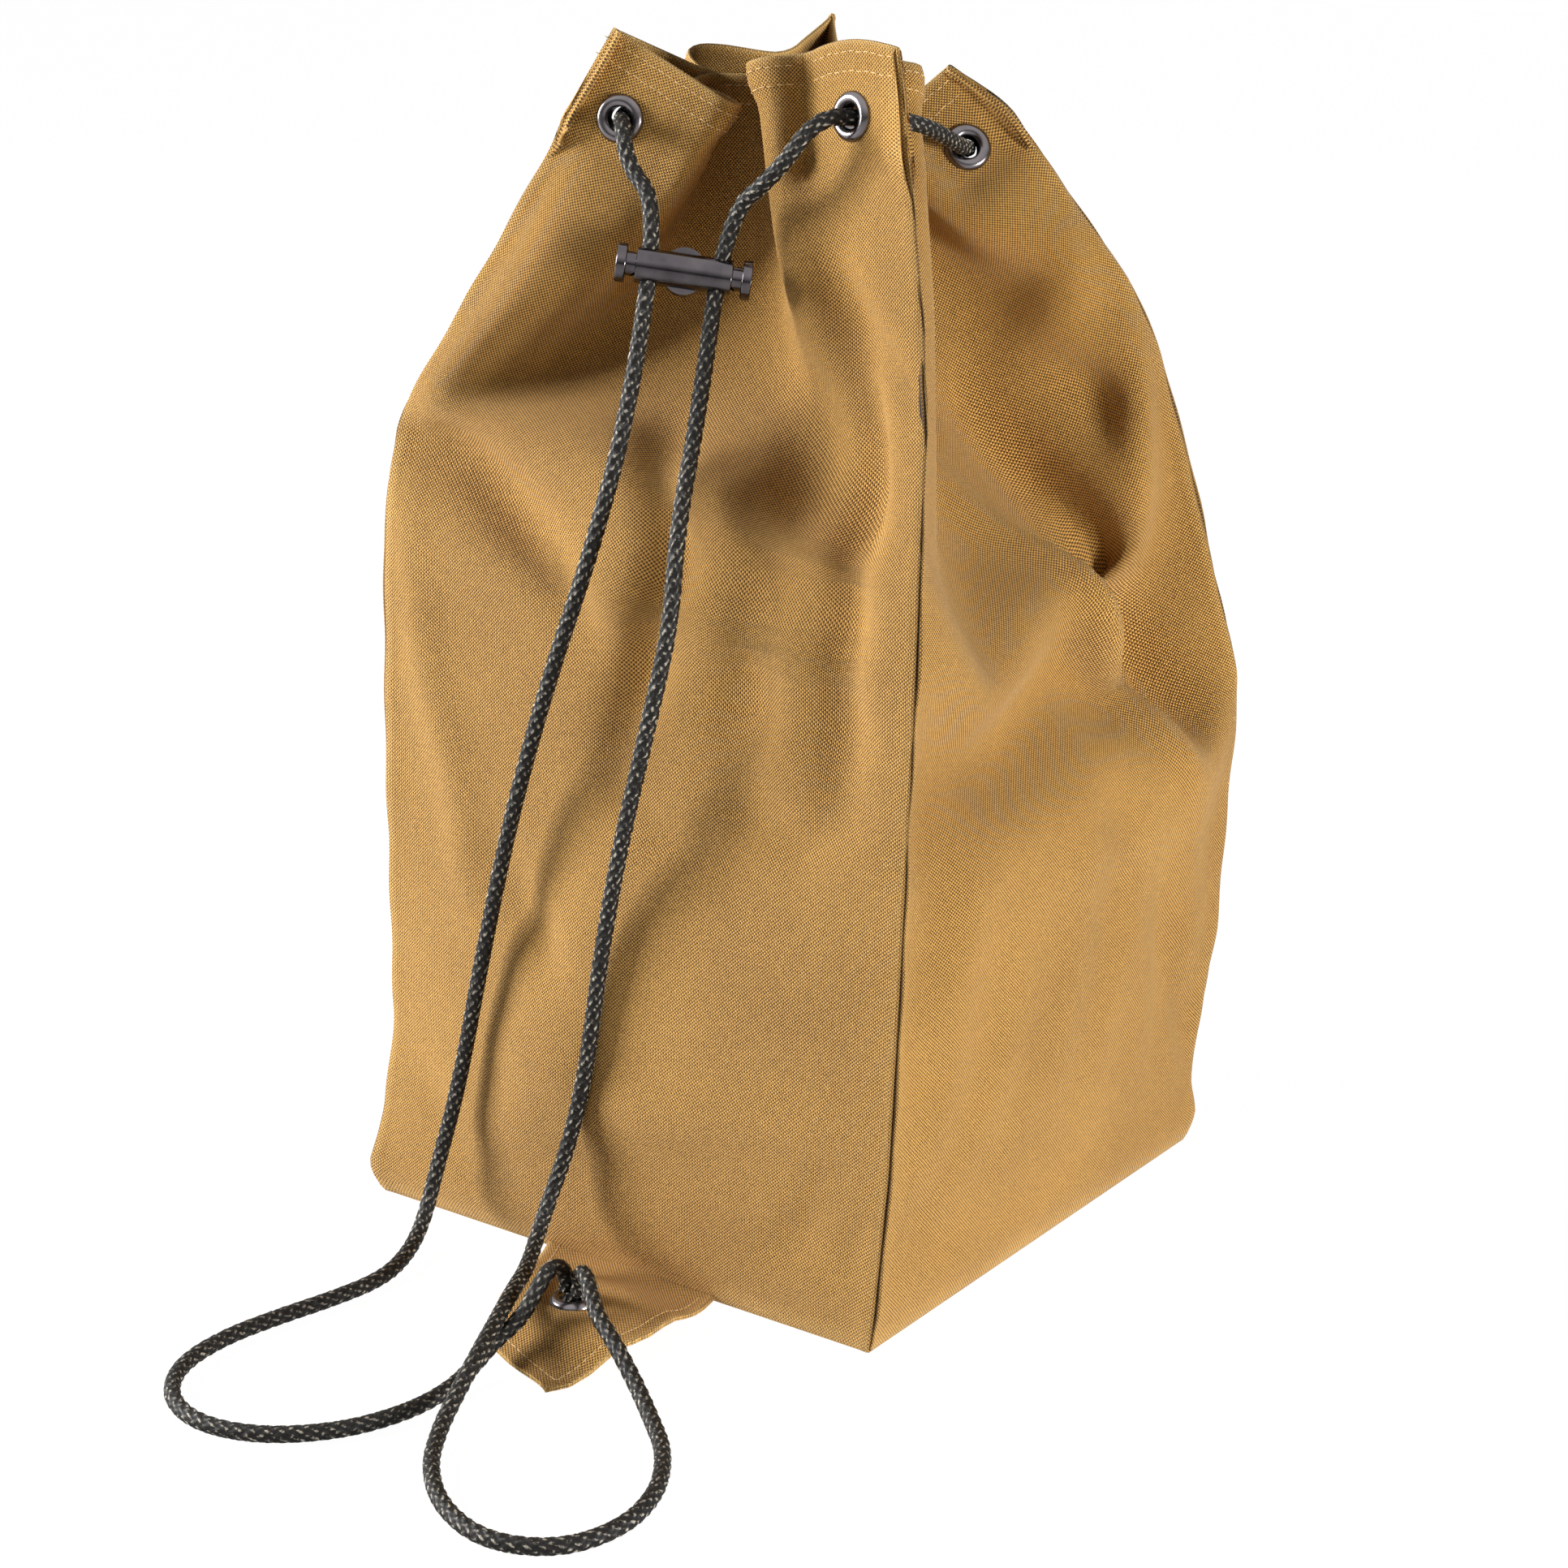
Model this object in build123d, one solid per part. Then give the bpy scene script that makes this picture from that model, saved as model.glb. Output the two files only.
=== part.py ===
"""Drawstring sack: four cloth side panels and a square base, gathered at the mouth by one cord
that runs through eight grommets, leaves at the front, passes a spring cord lock and ends in a
knot under a grommet in a cloth tab at the front of the base.

Frame: millimetres, +Z up, origin at the middle of the underside, front panel facing -Y.
"""
import math
import os

from build123d import *

# ---- driving dimensions ---------------------------------------------------------------------
base_length = 195.0        # along X, seam to seam
base_width = 191.0         # along Y
cloth = 0.7                # one ply of coated nylon
hem_plies = 2              # the rim is turned in once
hem_depth = 40.0
skirt_height = 8.0         # straight strip above the base seam
ear_height = 22.0          # where the base corners stand out
ear_reach = 4.0
low_height = 70.0

cord_diameter = 4.76       # solid braid, 3/16 inch
tape_thickness = 1.4       # seam binding, folded over the raw edges
tape_width = 9.0

grommet_bore = 7.1         # inside diameter
grommet_wall = 0.4
grommet_flange = 14.8      # outside diameter
grommet_dome = 1.7
grommet_flare = 10.2
washer_diameter = 14.4
washer_thickness = 0.9

lock_barrel_diameter = 10.5
lock_barrel_length = 28.5
lock_bore = 7.6
lock_hole_pitch = 20.0     # between the two cord holes
plunger_travel = 2.8
plunger_diameter = 7.2
plunger_head_diameter = 11.6
plunger_head_length = 3.0
spring_wire = 0.6
spring_turns = 4

tab_ply = 0.7
knot_diameter = 13.0

cord_clearance = 0.35      # cord to any bore that it runs through
seat_gap = 0.05            # metal to cloth
hem_loft = 0.45            # the turned-in hem stands this much fuller than its plies

# ---- the gathered corners -------------------------------------------------------------------
# tip: top of the corner at the rim.  edge: direction of the corner seam below the tip.
# axis, half: plan direction of the fold towards the mouth and half the angle between its flanks.
# near, far: length of the flank before and after the corner, going anticlockwise seen from above.
# low, waist, shoulder: how far the corner stands out from the base corner (X, Y) up its seam,
# with the height of the last two.
corners = {
    "front_left": dict(tip=(-31, -46.6, 377), edge=(-0.443, -0.231, -0.864), axis=44.0, half=26,
                       near=36, far=44, eyelet=14.5, drop=22,
                       low=(-2.5, -4.5), waist=(-2.5, -7.5, 190), shoulder=(-4.0, -14.5, 257)),
    "front_right": dict(tip=(60, -31, 375), edge=(0.12, -0.12, -0.985), axis=150.0, half=20,
                        near=44, far=36, eyelet=20, drop=18,
                        low=(4.5, -3.5), waist=(7.5, -7.5, 200), shoulder=(-2.5, -28.5, 273)),
    "back_right": dict(tip=(28, 45, 363), edge=(0.648, 0.239, -0.723), axis=213.0, half=31,
                       near=32, far=32, eyelet=14, drop=23,
                       low=(9.0, -2.5), waist=(13.0, -1.0, 169), shoulder=(-10.5, -17.5, 275)),
    "back_left": dict(tip=(-24, 56, 375), edge=(-0.509, 0.264, -0.818), axis=293.0, half=20,
                      near=30, far=30, eyelet=16, drop=22,
                      low=(-0.5, -2.5), waist=(-2.5, -5.5, 200), shoulder=(-11.5, -13.5, 265)),
}
corner_signs = {"front_left": (-1, -1), "front_right": (1, -1),
                "back_right": (1, 1), "back_left": (-1, 1)}
# each panel runs from one corner to the next, anticlockwise seen from above; valley is the
# bottom of the pleat in the middle of its rim
panels = {
    "front_panel": dict(start="front_left", end="front_right", valley=(8.5, -10.5),
                        shoulder_share=(0.0, 0.25, 0.45, 0.66, 0.84, 1.0),
                        shoulder_dip=(0.0, 4.0, 15.0, 20.0, 10.0, 0.0)),
    "right_panel": dict(start="front_right", end="back_right", valley=(18.0, 6.0)),
    "back_panel": dict(start="back_right", end="back_left", valley=(0.0, 26.0)),
    "left_panel": dict(start="back_left", end="front_left", valley=(-9.0, 4.0)),
}
column_share = (0.0, 0.25, 0.42, 0.58, 0.75, 1.0)   # corner, crest, valley, valley, crest, corner
valley_half = 0.2          # half the valley's flat bottom, as a share of the gap between crests
valley_lean = 14.0         # how far the valley leans out over the depth of the hem
shoulder_dip = (0.0, 4.0, 8.0, 8.0, 4.0, 0.0)
waist_dip = (0.0, 0.0, 1.0, 1.0, 0.0, 0.0)
low_bulge = (0.0, 2.0, 3.0, 3.0, 2.0, 0.0)
ear_bulge = (0.0, 1.0, 1.5, 1.5, 1.0, 0.0)

# ---- cord lock ------------------------------------------------------------------------------
lock_centre = Vector(4.6, -60.5, 310.0)
lock_yaw = 35.8            # barrel's heading in plan
lock_roll = -8.5           # barrel drops towards its right end
strand_up = Vector(-0.062, 0.357, 0.932)   # the strands' direction through the lock
straight_above = 18.0      # straight strand above and below the lock's middle
straight_below = 42.0

# ---- free strands ---------------------------------------------------------------------------
# Points from the lock down the front, over the floor and back to the tab: X, how far in front
# of the base's front edge, and height.
floor_level = cord_diameter / 2
cord_start = 4.0           # where a free strand begins, out from the middle of the hem
exit_run = 8.0             # its straight run there
outside_bend = 7.0         # where the held cord turns outside a grommet
left_strand_bend = (-18.5, -57.5, 339)      # above the lock
right_strand_bend = (28, -46, 339)
left_strand_points = [
    (-5, -0.5, 229), (-16, 5, 194), (-31, 7, 148), (-44, 8, 98), (-55, 8.5, 52),
    (-62, 12, 24), (-61, 21.5, 6), (-55, 36.5, floor_level), (-51, 52.5, floor_level),
    (-54, 70.5, floor_level), (-59, 88.5, floor_level), (-63, 108.5, floor_level),
    (-61, 128.5, floor_level), (-50, 143.5, floor_level), (-32, 150, floor_level),
    (-12, 144.5, floor_level), (4, 129.5, floor_level), (12, 111.5, floor_level),
    (13.5, 94.5, floor_level), (11.5, 80.5, 3.6), (11, 70, 7.6), (14.5, 62, 12.6),
    (14.8, 55.5, 18.5), (14.6, 47.7, 24.5), (14.6, 40.5, 20.6),
]
right_strand_points = [
    (24, -5.5, 241), (27.5, 2.5, 215), (22.5, 6, 188), (11, 7.5, 144), (3, 8, 106),
    (-3, 8.5, 68), (-10, 10, 41), (-13.5, 14.5, 26), (-11.5, 23.5, 16.5),
    (-3.5, 37.5, 14.2), (3.5, 52.5, 14.8),
    (11.5, 68.5, 15.0), (19, 87.5, 12.0), (22.5, 100.5, 6.4), (27, 112.5, 2.9),
    (38, 129.5, floor_level), (55, 143.5, floor_level), (76, 150, floor_level),
    (95, 141.5, floor_level), (102, 122.5, floor_level), (98, 102.5, floor_level),
    (86, 84.5, floor_level), (73, 73.5, 2.9), (61, 65.5, 7.0), (48, 59.5, 14.5),
    (36, 53.5, 18.0), (26.4, 45.5, 24.5), (19.4, 40.5, 20.6),
]

# ---- tab ------------------------------------------------------------------------------------
tab_outline = [(-26, 0), (4, -65), (35, -74), (46, -45), (40, 0)]   # Y from the base seam
tab_profile = [(0, 1.6), (-14, 4.5), (-26, 9.4), (-50, 9.4), (-62, 3.6), (-80, 1.4)]
tab_hole = (17.0, 40.5)     # X, and how far in front of the base's front edge
cord_neck_top = 13.6


def unit(v):
    return Vector(*v).normalized()


def before_base(x, out, height):
    return Vector(x, -base_width / 2 - out, height)


def between(a, b, share):
    return a + (b - a) * share


# ---- positions of the gathered mouth --------------------------------------------------------
def flank_direction(corner, side):
    """Rim direction of one flank, in the flank's plane and square to the corner seam."""
    data = corners[corner]
    heading = math.radians(data["axis"] + side * data["half"])
    edge = unit(data["edge"])
    flat_x = math.cos(heading)
    flat_y = math.sin(heading)
    rise = -(flat_x * edge.X + flat_y * edge.Y) / edge.Z
    return unit((flat_x, flat_y, rise))


def crest(corner, side):
    """The inner end of a flank at the rim; side +1 is the flank before the corner, -1 after."""
    data = corners[corner]
    length = data["near"] if side > 0 else data["far"]
    return Vector(*data["tip"]) + flank_direction(corner, side) * length


def corner_column(corner):
    """The corner seam from the floor to the rim, one point a row."""
    data = corners[corner]
    sign_x, sign_y = corner_signs[corner]
    x = sign_x * base_length / 2
    y = sign_y * base_width / 2
    ear = ear_reach * math.sqrt(0.5)
    tip = Vector(*data["tip"])

    def standing_out(out_x, out_y, height):
        return Vector(x + sign_x * out_x, y + sign_y * out_y, height)

    return [
        standing_out(0, 0, 0),
        standing_out(0, 0, skirt_height),
        standing_out(ear, ear, ear_height),
        standing_out(*data["low"], low_height),
        standing_out(*data["waist"]),
        standing_out(*data["shoulder"]),
        tip + unit(data["edge"]) * hem_depth,
        tip,
    ]


def panel_rows(name):
    """A panel's outer face as rows of six points, from the floor to the rim."""
    data = panels[name]
    start = corner_column(data["start"])
    end = corner_column(data["end"])
    across = (end[0] - start[0]).normalized()
    outward = Vector(across.Y, -across.X, 0)
    zeros = (0.0,) * len(column_share)
    dips = [zeros, zeros, [-b for b in ear_bulge], [-b for b in low_bulge], waist_dip]
    shares = [column_share] * len(dips)
    dips.append(data.get("shoulder_dip", shoulder_dip))
    shares.append(data.get("shoulder_share", column_share))
    rows = []
    for level in range(len(dips)):
        row = []
        for share, depth in zip(shares[level], dips[level]):
            row.append(between(start[level], end[level], share) - outward * depth)
        rows.append(row)
    rim_start = crest(data["start"], -1)
    rim_end = crest(data["end"], 1)
    gap = rim_end - rim_start
    valley = Vector(*data["valley"], (rim_start.Z + rim_end.Z) / 2)
    half_gap = Vector(gap.X, gap.Y, 0) * valley_half
    edge_start = unit(corners[data["start"]]["edge"]) * hem_depth
    edge_end = unit(corners[data["end"]]["edge"]) * hem_depth
    lean = outward * valley_lean - Vector(0, 0, hem_depth)
    rows.append([start[6], rim_start + edge_start, valley - half_gap + lean,
                 valley + half_gap + lean, rim_end + edge_end, end[6]])
    rows.append([start[7], rim_start, valley - half_gap, valley + half_gap, rim_end, end[7]])
    return rows


def inset(points, depth):
    """Move a closed plan outline inwards by one wall, mitred at every point."""
    moved = []
    count = len(points)
    for index, point in enumerate(points):
        before = points[index - 1]
        after = points[(index + 1) % count]
        into = Vector(point.X - before.X, point.Y - before.Y, 0).normalized()
        out = Vector(after.X - point.X, after.Y - point.Y, 0).normalized()
        side_in = Vector(-into.Y, into.X, 0)
        side_out = Vector(-out.Y, out.X, 0)
        mitre = (side_in + side_out).normalized()
        moved.append(point + mitre * (depth / mitre.dot(side_in)))
    return moved


hem_stack = cloth * hem_plies + hem_loft
outer_faces = {name: panel_rows(name) for name in panels}
row_count = len(outer_faces["front_panel"])
hem_rows = (row_count - 2, row_count - 1)
inner_faces = {name: [] for name in panels}
for row in range(row_count):
    ring = []
    for name in panels:
        ring += outer_faces[name][row][:-1]
    wall = cloth * (hem_plies if row in hem_rows else 1)
    ring = inset(ring, wall)
    step = len(column_share) - 1
    for number, name in enumerate(panels):
        first = number * step
        inner_faces[name].append([ring[(first + k) % len(ring)] for k in range(step + 1)])


# ---- solids from rows of points -------------------------------------------------------------
def quad(a, b, c, d):
    """Two flat triangles over four points."""
    return [Face(Wire.make_polygon(three, close=True)) for three in ((a, b, c), (a, c, d))]


def strip_faces(lower, upper):
    faces = []
    for k in range(len(lower) - 1):
        faces += quad(lower[k], lower[k + 1], upper[k + 1], upper[k])
    return faces


def walled_solid(outer, inner):
    """A closed solid between two sheets that have the same rows of points."""
    faces = []
    for row in range(len(outer) - 1):
        faces += strip_faces(outer[row], outer[row + 1])
        faces += strip_faces(inner[row], inner[row + 1])
    faces += strip_faces(outer[0], inner[0])
    faces += strip_faces(outer[-1], inner[-1])
    for column in (0, -1):
        faces += strip_faces([row[column] for row in outer], [row[column] for row in inner])
    solid = Solid(Shell(faces))
    return solid if solid.volume > 0 else -solid


# ---- eyelets: where each grommet sits -------------------------------------------------------
def eyelet_plane(corner, side):
    """The outer face of the cloth at one grommet, with Z pointing out of the bag."""
    data = corners[corner]
    edge = unit(data["edge"])
    along = flank_direction(corner, side)
    normal = edge.cross(along)
    if side > 0:
        normal = -normal
    place = Vector(*data["tip"]) + along * data["eyelet"] + edge * data["drop"]
    return Plane(origin=place, x_dir=along, z_dir=normal)


def eyelets():
    """Every grommet's place, named by its panel and the corner that it is beside."""
    places = {}
    for name, data in panels.items():
        side_name = name.replace("_panel", "")
        places[side_name + "_grommet_first"] = eyelet_plane(data["start"], -1)
        places[side_name + "_grommet_last"] = eyelet_plane(data["end"], 1)
    return places


def grommet_profile(stack):
    """Half section of a rolled grommet through a stack of plies, on its own axis."""
    bore = grommet_bore / 2
    flange = grommet_flange / 2
    barrel = bore + grommet_wall
    under = -stack - seat_gap
    with BuildSketch(Plane.XZ) as sketch:
        with BuildLine():
            ThreePointArc((flange, seat_gap), ((flange + bore) / 2 + 0.3, grommet_dome),
                          (bore, grommet_dome * 0.35))
            Polyline((bore, grommet_dome * 0.35), (bore, under - 0.2),
                     (grommet_flare / 2, under - 0.7), (grommet_flare / 2, under),
                     (barrel, under), (barrel, seat_gap), (flange, seat_gap))
        make_face()
    return sketch.sketch


def grommet(place, stack):
    return place * revolve(grommet_profile(stack + washer_thickness + seat_gap), Axis.Z)


def washer(place, stack):
    bore = grommet_bore + 2 * grommet_wall
    ring = Cylinder(washer_diameter / 2, washer_thickness) - Cylinder(bore / 2, 3)
    return place * Pos(0, 0, -stack - seat_gap - washer_thickness / 2) * ring


def eyelet_cut(place, stack):
    radius = grommet_bore / 2 + grommet_wall
    return place * Cylinder(radius, 2 * stack + 3)


# ---- cloth ----------------------------------------------------------------------------------
def side_panel(name):
    solid = walled_solid(outer_faces[name], inner_faces[name])
    for side_name, place in eyelets().items():
        if side_name.startswith(name.replace("_panel", "_grommet")):
            solid = solid - eyelet_cut(place, hem_stack)
    return solid


def base_panel():
    return Pos(0, 0, cloth / 2) * Box(base_length - 2 * cloth, base_width - 2 * cloth, cloth)


def base_seam_binding():
    """Tape round the inside of the base seam, standing on the base cloth."""
    outer_x = base_length - 2 * cloth - 2 * seat_gap
    outer_y = base_width - 2 * cloth - 2 * seat_gap
    height = skirt_height - cloth - 2 * seat_gap
    ring = Box(outer_x, outer_y, height)
    ring -= Box(outer_x - 2 * tape_thickness, outer_y - 2 * tape_thickness, height + 1)
    return Pos(0, 0, cloth + seat_gap + height / 2) * ring


def corner_seam_binding(corner):
    """Tape over the raw edges inside a corner seam, from the base seam to the shoulder."""
    name = next(n for n in panels if panels[n]["start"] == corner)
    sign_x, sign_y = corner_signs[corner]
    inward = Vector(-sign_x, -sign_y, 0).normalized()
    sideways = Vector(-inward.Y, inward.X, 0) * (tape_thickness / 2)
    rows = []
    for row in range(1, row_count - 2):
        root = inner_faces[name][row][0] + inward * (tape_thickness / 2 + 8 * seat_gap)
        rows.append(root)
    lift = Vector(0, 0, 2 * seat_gap)
    rows[0] = rows[0] + lift
    front = [[p + sideways, p + sideways + inward * tape_width] for p in rows]
    back = [[p - sideways, p - sideways + inward * tape_width] for p in rows]
    return walled_solid(front, back)


# ---- tab ------------------------------------------------------------------------------------
base_front = -base_width / 2 - seat_gap
tab_stack = 2 * tab_ply + seat_gap


def tab_ply_solid(lift):
    """One ply of the tab: a bent strip cut to the tab's outline."""
    lower = [(y, z + lift) for y, z in tab_profile]
    upper = [(y, z + lift + tab_ply) for y, z in reversed(tab_profile)]
    strip = extrude(Plane.YZ * make_face(Polyline(*lower, *upper, close=True)), 100, both=True)
    outline = extrude(make_face(Polyline(*tab_outline, close=True)), 40)
    hole = Pos(tab_hole[0], seat_gap - tab_hole[1], 10) * Cylinder(
        grommet_bore / 2 + grommet_wall, 40)
    return Pos(0, base_front, 0) * (strip & outline - hole)


def tab_top():
    """Height of the tab's upper face on its flat middle."""
    flat = max(z for y, z in tab_profile)
    return flat + tab_stack


tab_place = Plane(origin=before_base(*tab_hole, tab_top()), z_dir=(0, 0, 1))


# ---- cord -----------------------------------------------------------------------------------
def corner_radii(points, longest_tangent=1000.0):
    """Bend radius at each inner point: as wide as its two runs allow."""
    radii = []
    for a, b, c in zip(points, points[1:], points[2:]):
        run_in = (b - a).length
        run_out = (c - b).length
        cosine = (b - a).dot(c - b) / (run_in * run_out)
        turn = math.acos(max(-1, min(1, cosine)))
        tangent = min(0.45 * min(run_in, run_out), longest_tangent)
        radii.append(tangent / math.tan(turn / 2))
    return radii


def cord(name, points, longest_tangent=1000.0):
    points = [Vector(*p) if not isinstance(p, Vector) else p for p in points]
    radii = corner_radii(points, longest_tangent)
    route = FilletPolyline(*points, radius=radii)
    start = Plane(origin=points[0], z_dir=points[1] - points[0])
    tube = sweep(start * Circle(cord_diameter / 2), path=route)
    expected = route.length * math.pi * cord_diameter ** 2 / 4
    print(name, "length", round(route.length, 1), "volume ratio", round(tube.volume / expected, 4),
          "radii", [round(r, 1) for r in radii])
    return tube


# ---- cord lock ------------------------------------------------------------------------------
yaw = math.radians(lock_yaw)
roll = math.radians(lock_roll)
barrel_axis = Vector(math.cos(yaw) * math.cos(roll), math.sin(yaw) * math.cos(roll), math.sin(roll))
lock_up = (strand_up - barrel_axis * barrel_axis.dot(strand_up)).normalized()
lock_place = Plane(origin=lock_centre, x_dir=barrel_axis, z_dir=lock_up)
cord_hole = cord_diameter + 2 * cord_clearance
plunger_slot = cord_hole + plunger_travel
plunger_inner_end = lock_hole_pitch / 2 - cord_hole / 2 - 2.6
spring_length = 2 * (plunger_inner_end - seat_gap)


def lock_barrel():
    """Barrel with an oval collar behind it; two cord holes cross the bore."""
    body = Rot(0, 90, 0) * Cylinder(lock_barrel_diameter / 2, lock_barrel_length)
    body = fillet(body.edges().filter_by(GeomType.CIRCLE), 0.5)
    collar = Rot(90, 0, 0) * extrude(Ellipse(6.6, 7.0), 2.2, both=True)
    body += Pos(0, 1.6, 0) * collar
    body -= Rot(0, 90, 0) * Cylinder(lock_bore / 2, lock_barrel_length + 2)
    for side in (-1, 1):
        body -= Pos(side * lock_hole_pitch / 2, 0, 0) * Cylinder(cord_hole / 2, 20)
    return lock_place * body


def lock_plunger(side):
    """Plunger with a head, a neck and a slot that lets the cord pass at rest and when pressed."""
    head_start = lock_barrel_length / 2 + plunger_travel
    shaft_length = head_start - plunger_inner_end
    shaft = Pos(plunger_inner_end + shaft_length / 2, 0, 0) * Rot(0, 90, 0) * Cylinder(
        plunger_diameter / 2, shaft_length)
    head = Pos(head_start + plunger_head_length / 2, 0, 0) * Rot(0, 90, 0) * Cylinder(
        plunger_head_diameter / 2, plunger_head_length)
    head = fillet(head.edges().filter_by(GeomType.CIRCLE), 0.5)
    slot_start = lock_hole_pitch / 2 - cord_hole / 2
    slot = SlotOverall(plunger_slot, cord_hole)
    slot = extrude(Pos(slot_start + plunger_slot / 2, 0, 0) * slot, 10, both=True)
    body = shaft + head - slot
    return lock_place * (body if side > 0 else mirror(body, about=Plane.YZ))


def lock_spring():
    radius = lock_bore / 2 - spring_wire / 2 - 0.5
    pitch = (spring_length - spring_wire) / spring_turns
    path = Helix(pitch, pitch * spring_turns, radius)
    wire = sweep(Plane(origin=path @ 0, z_dir=path % 0) * Circle(spring_wire / 2), path=path)
    return lock_place * Rot(0, 90, 0) * Pos(0, 0, -pitch * spring_turns / 2) * wire


def strand_through_lock(side):
    """The straight run of one strand through the lock, from above it to below it."""
    middle = lock_centre + barrel_axis * (side * lock_hole_pitch / 2)
    return [middle + lock_up * straight_above, middle - lock_up * straight_below]


def through(corner, side):
    """Where the cord leaves one grommet of a corner, and its direction: straight from the other."""
    places = [eyelet_plane(corner, side), eyelet_plane(corner, -side)]
    middle = -hem_stack / 2 - washer_thickness / 2
    here, there = [place.origin + place.z_dir * middle for place in places]
    heading = (here - there).normalized()
    return here, heading


def mouth_cord():
    """The held run: from the front right grommet round the mouth to the front left one."""
    start, heading = through("front_right", 1)
    points = [start + heading * cord_start]
    for leaving, entering in (("front_right", "back_right"), ("back_right", "back_left"),
                              ("back_left", "front_left")):
        for corner, side in ((leaving, -1), (entering, 1)):
            place, heading = through(corner, side)
            points.append(place + heading * outside_bend)
    end, heading = through("front_left", -1)
    points.append(end + heading * cord_start)
    return points


def free_strand(side):
    """A whole free strand: out of its grommet, through the lock, over the floor, to the tab."""
    place, heading = through("front_left", -1) if side < 0 else through("front_right", 1)
    points = [place + heading * cord_start, place + heading * (cord_start + exit_run)]
    points.append(Vector(*(left_strand_bend if side < 0 else right_strand_bend)))
    points += strand_through_lock(side)
    lower = left_strand_points if side < 0 else right_strand_points
    points += [before_base(*p) for p in lower]
    in_hole = tab_hole[0] + side * (cord_diameter / 2 + 0.02)
    points.append(before_base(in_hole, tab_hole[1], cord_neck_top))
    return points


def cord_end_knot():
    """The two cord ends, squeezed through the tab's grommet and knotted under it."""
    neck_radius = grommet_bore / 2 - 0.1
    at = Pos(*before_base(*tab_hole, 0))
    top = tab_top() + grommet_dome * 0.35
    mouth = SlotOverall(2 * cord_diameter + 0.04, cord_diameter)
    funnel = loft([at * Pos(0, 0, cord_neck_top) * mouth, at * Pos(0, 0, top) * Circle(neck_radius)])
    under = tab_top() - tab_stack - washer_thickness - 1.0
    height = under - 0.3
    neck = at * Pos(0, 0, (top + under) / 2 - 0.5) * Cylinder(neck_radius, top - under + 1.0)
    knot = Cylinder(knot_diameter / 2, height)
    knot = fillet(knot.edges().filter_by(GeomType.CIRCLE), height * 0.45)
    return funnel + neck + at * Pos(0, 0, 0.3 + height / 2) * knot


# ---- write every piece ----------------------------------------------------------------------
pieces = {name: side_panel(name) for name in panels}
pieces["base_panel"] = base_panel()
pieces["base_seam_binding"] = base_seam_binding()
for corner in corners:
    pieces[corner + "_seam_binding"] = corner_seam_binding(corner)
for name, place in eyelets().items():
    pieces[name] = grommet(place, hem_stack)
    pieces[name.replace("grommet", "washer")] = washer(place, hem_stack)
pieces["tab_under_ply"] = tab_ply_solid(0)
pieces["tab_top_ply"] = tab_ply_solid(tab_ply + seat_gap)
pieces["tab_grommet"] = grommet(tab_place, tab_stack)
pieces["tab_washer"] = washer(tab_place, tab_stack)
pieces["drawcord_mouth_run"] = cord("drawcord_mouth_run", mouth_cord(), outside_bend - 3.0)
pieces["drawcord_left_strand"] = cord("drawcord_left_strand", free_strand(-1))
pieces["drawcord_right_strand"] = cord("drawcord_right_strand", free_strand(1))
pieces["cord_end_knot"] = cord_end_knot()
pieces["lock_barrel"] = lock_barrel()
pieces["lock_plunger_left"] = lock_plunger(-1)
pieces["lock_plunger_right"] = lock_plunger(1)
pieces["lock_spring"] = lock_spring()

os.makedirs("parts", exist_ok=True)
for name, shape in pieces.items():
    export_step(shape, "parts/" + name + ".step")
print(len(pieces), "pieces")
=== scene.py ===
# %% [markdown]
# # A drawstring sack of woven nylon
# The real object is a tall square sack, sewn from four side panels and a square base. Its mouth is
# gathered by one braided cord that runs through eight grommets. The cord leaves the mouth at the
# front, passes a spring cord lock, lies on the floor in two loops and is knotted under a tab.
# The hard parts come in with the frame. The cloth and the cord are made here, because their look
# is in the way that they fold and in their weave.

# %% Load the frame
import math

import bpy
import numpy as np
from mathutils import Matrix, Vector


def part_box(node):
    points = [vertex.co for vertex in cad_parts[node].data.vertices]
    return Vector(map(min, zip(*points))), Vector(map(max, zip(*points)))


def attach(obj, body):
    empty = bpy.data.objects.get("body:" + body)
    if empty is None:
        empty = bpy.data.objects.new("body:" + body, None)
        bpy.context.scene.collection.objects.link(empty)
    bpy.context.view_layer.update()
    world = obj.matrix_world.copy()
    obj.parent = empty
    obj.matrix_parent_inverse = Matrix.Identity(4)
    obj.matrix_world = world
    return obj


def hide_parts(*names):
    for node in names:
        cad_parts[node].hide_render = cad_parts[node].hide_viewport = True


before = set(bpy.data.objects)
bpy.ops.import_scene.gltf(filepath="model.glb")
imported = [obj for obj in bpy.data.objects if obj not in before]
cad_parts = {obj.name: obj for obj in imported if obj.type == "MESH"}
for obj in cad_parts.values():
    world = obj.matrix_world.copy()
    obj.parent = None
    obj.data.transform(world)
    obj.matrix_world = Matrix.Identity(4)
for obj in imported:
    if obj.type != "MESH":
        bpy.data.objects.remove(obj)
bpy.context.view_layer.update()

# %% [markdown]
# ## Camera
# A long lens from a little above the sack's middle shows the front and the right panel, and keeps
# the upright edges nearly parallel. It is placed by its distance, height and heading.

# %% Camera
heading = math.radians(35.76)
camera_data = bpy.data.cameras.new("camera")
camera_data.sensor_width = 36
camera_data.lens = 74.78
camera = bpy.data.objects.new("camera", camera_data)
camera.location = (math.sin(heading) * 1.00577, -math.cos(heading) * 1.00577, 0.46225)
camera.rotation_euler = (math.radians(90 - 18.01), 0, math.radians(35.90))
bpy.context.scene.collection.objects.link(camera)
bpy.context.scene.camera = camera
print("camera at", tuple(round(v, 3) for v in camera.location))

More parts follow.
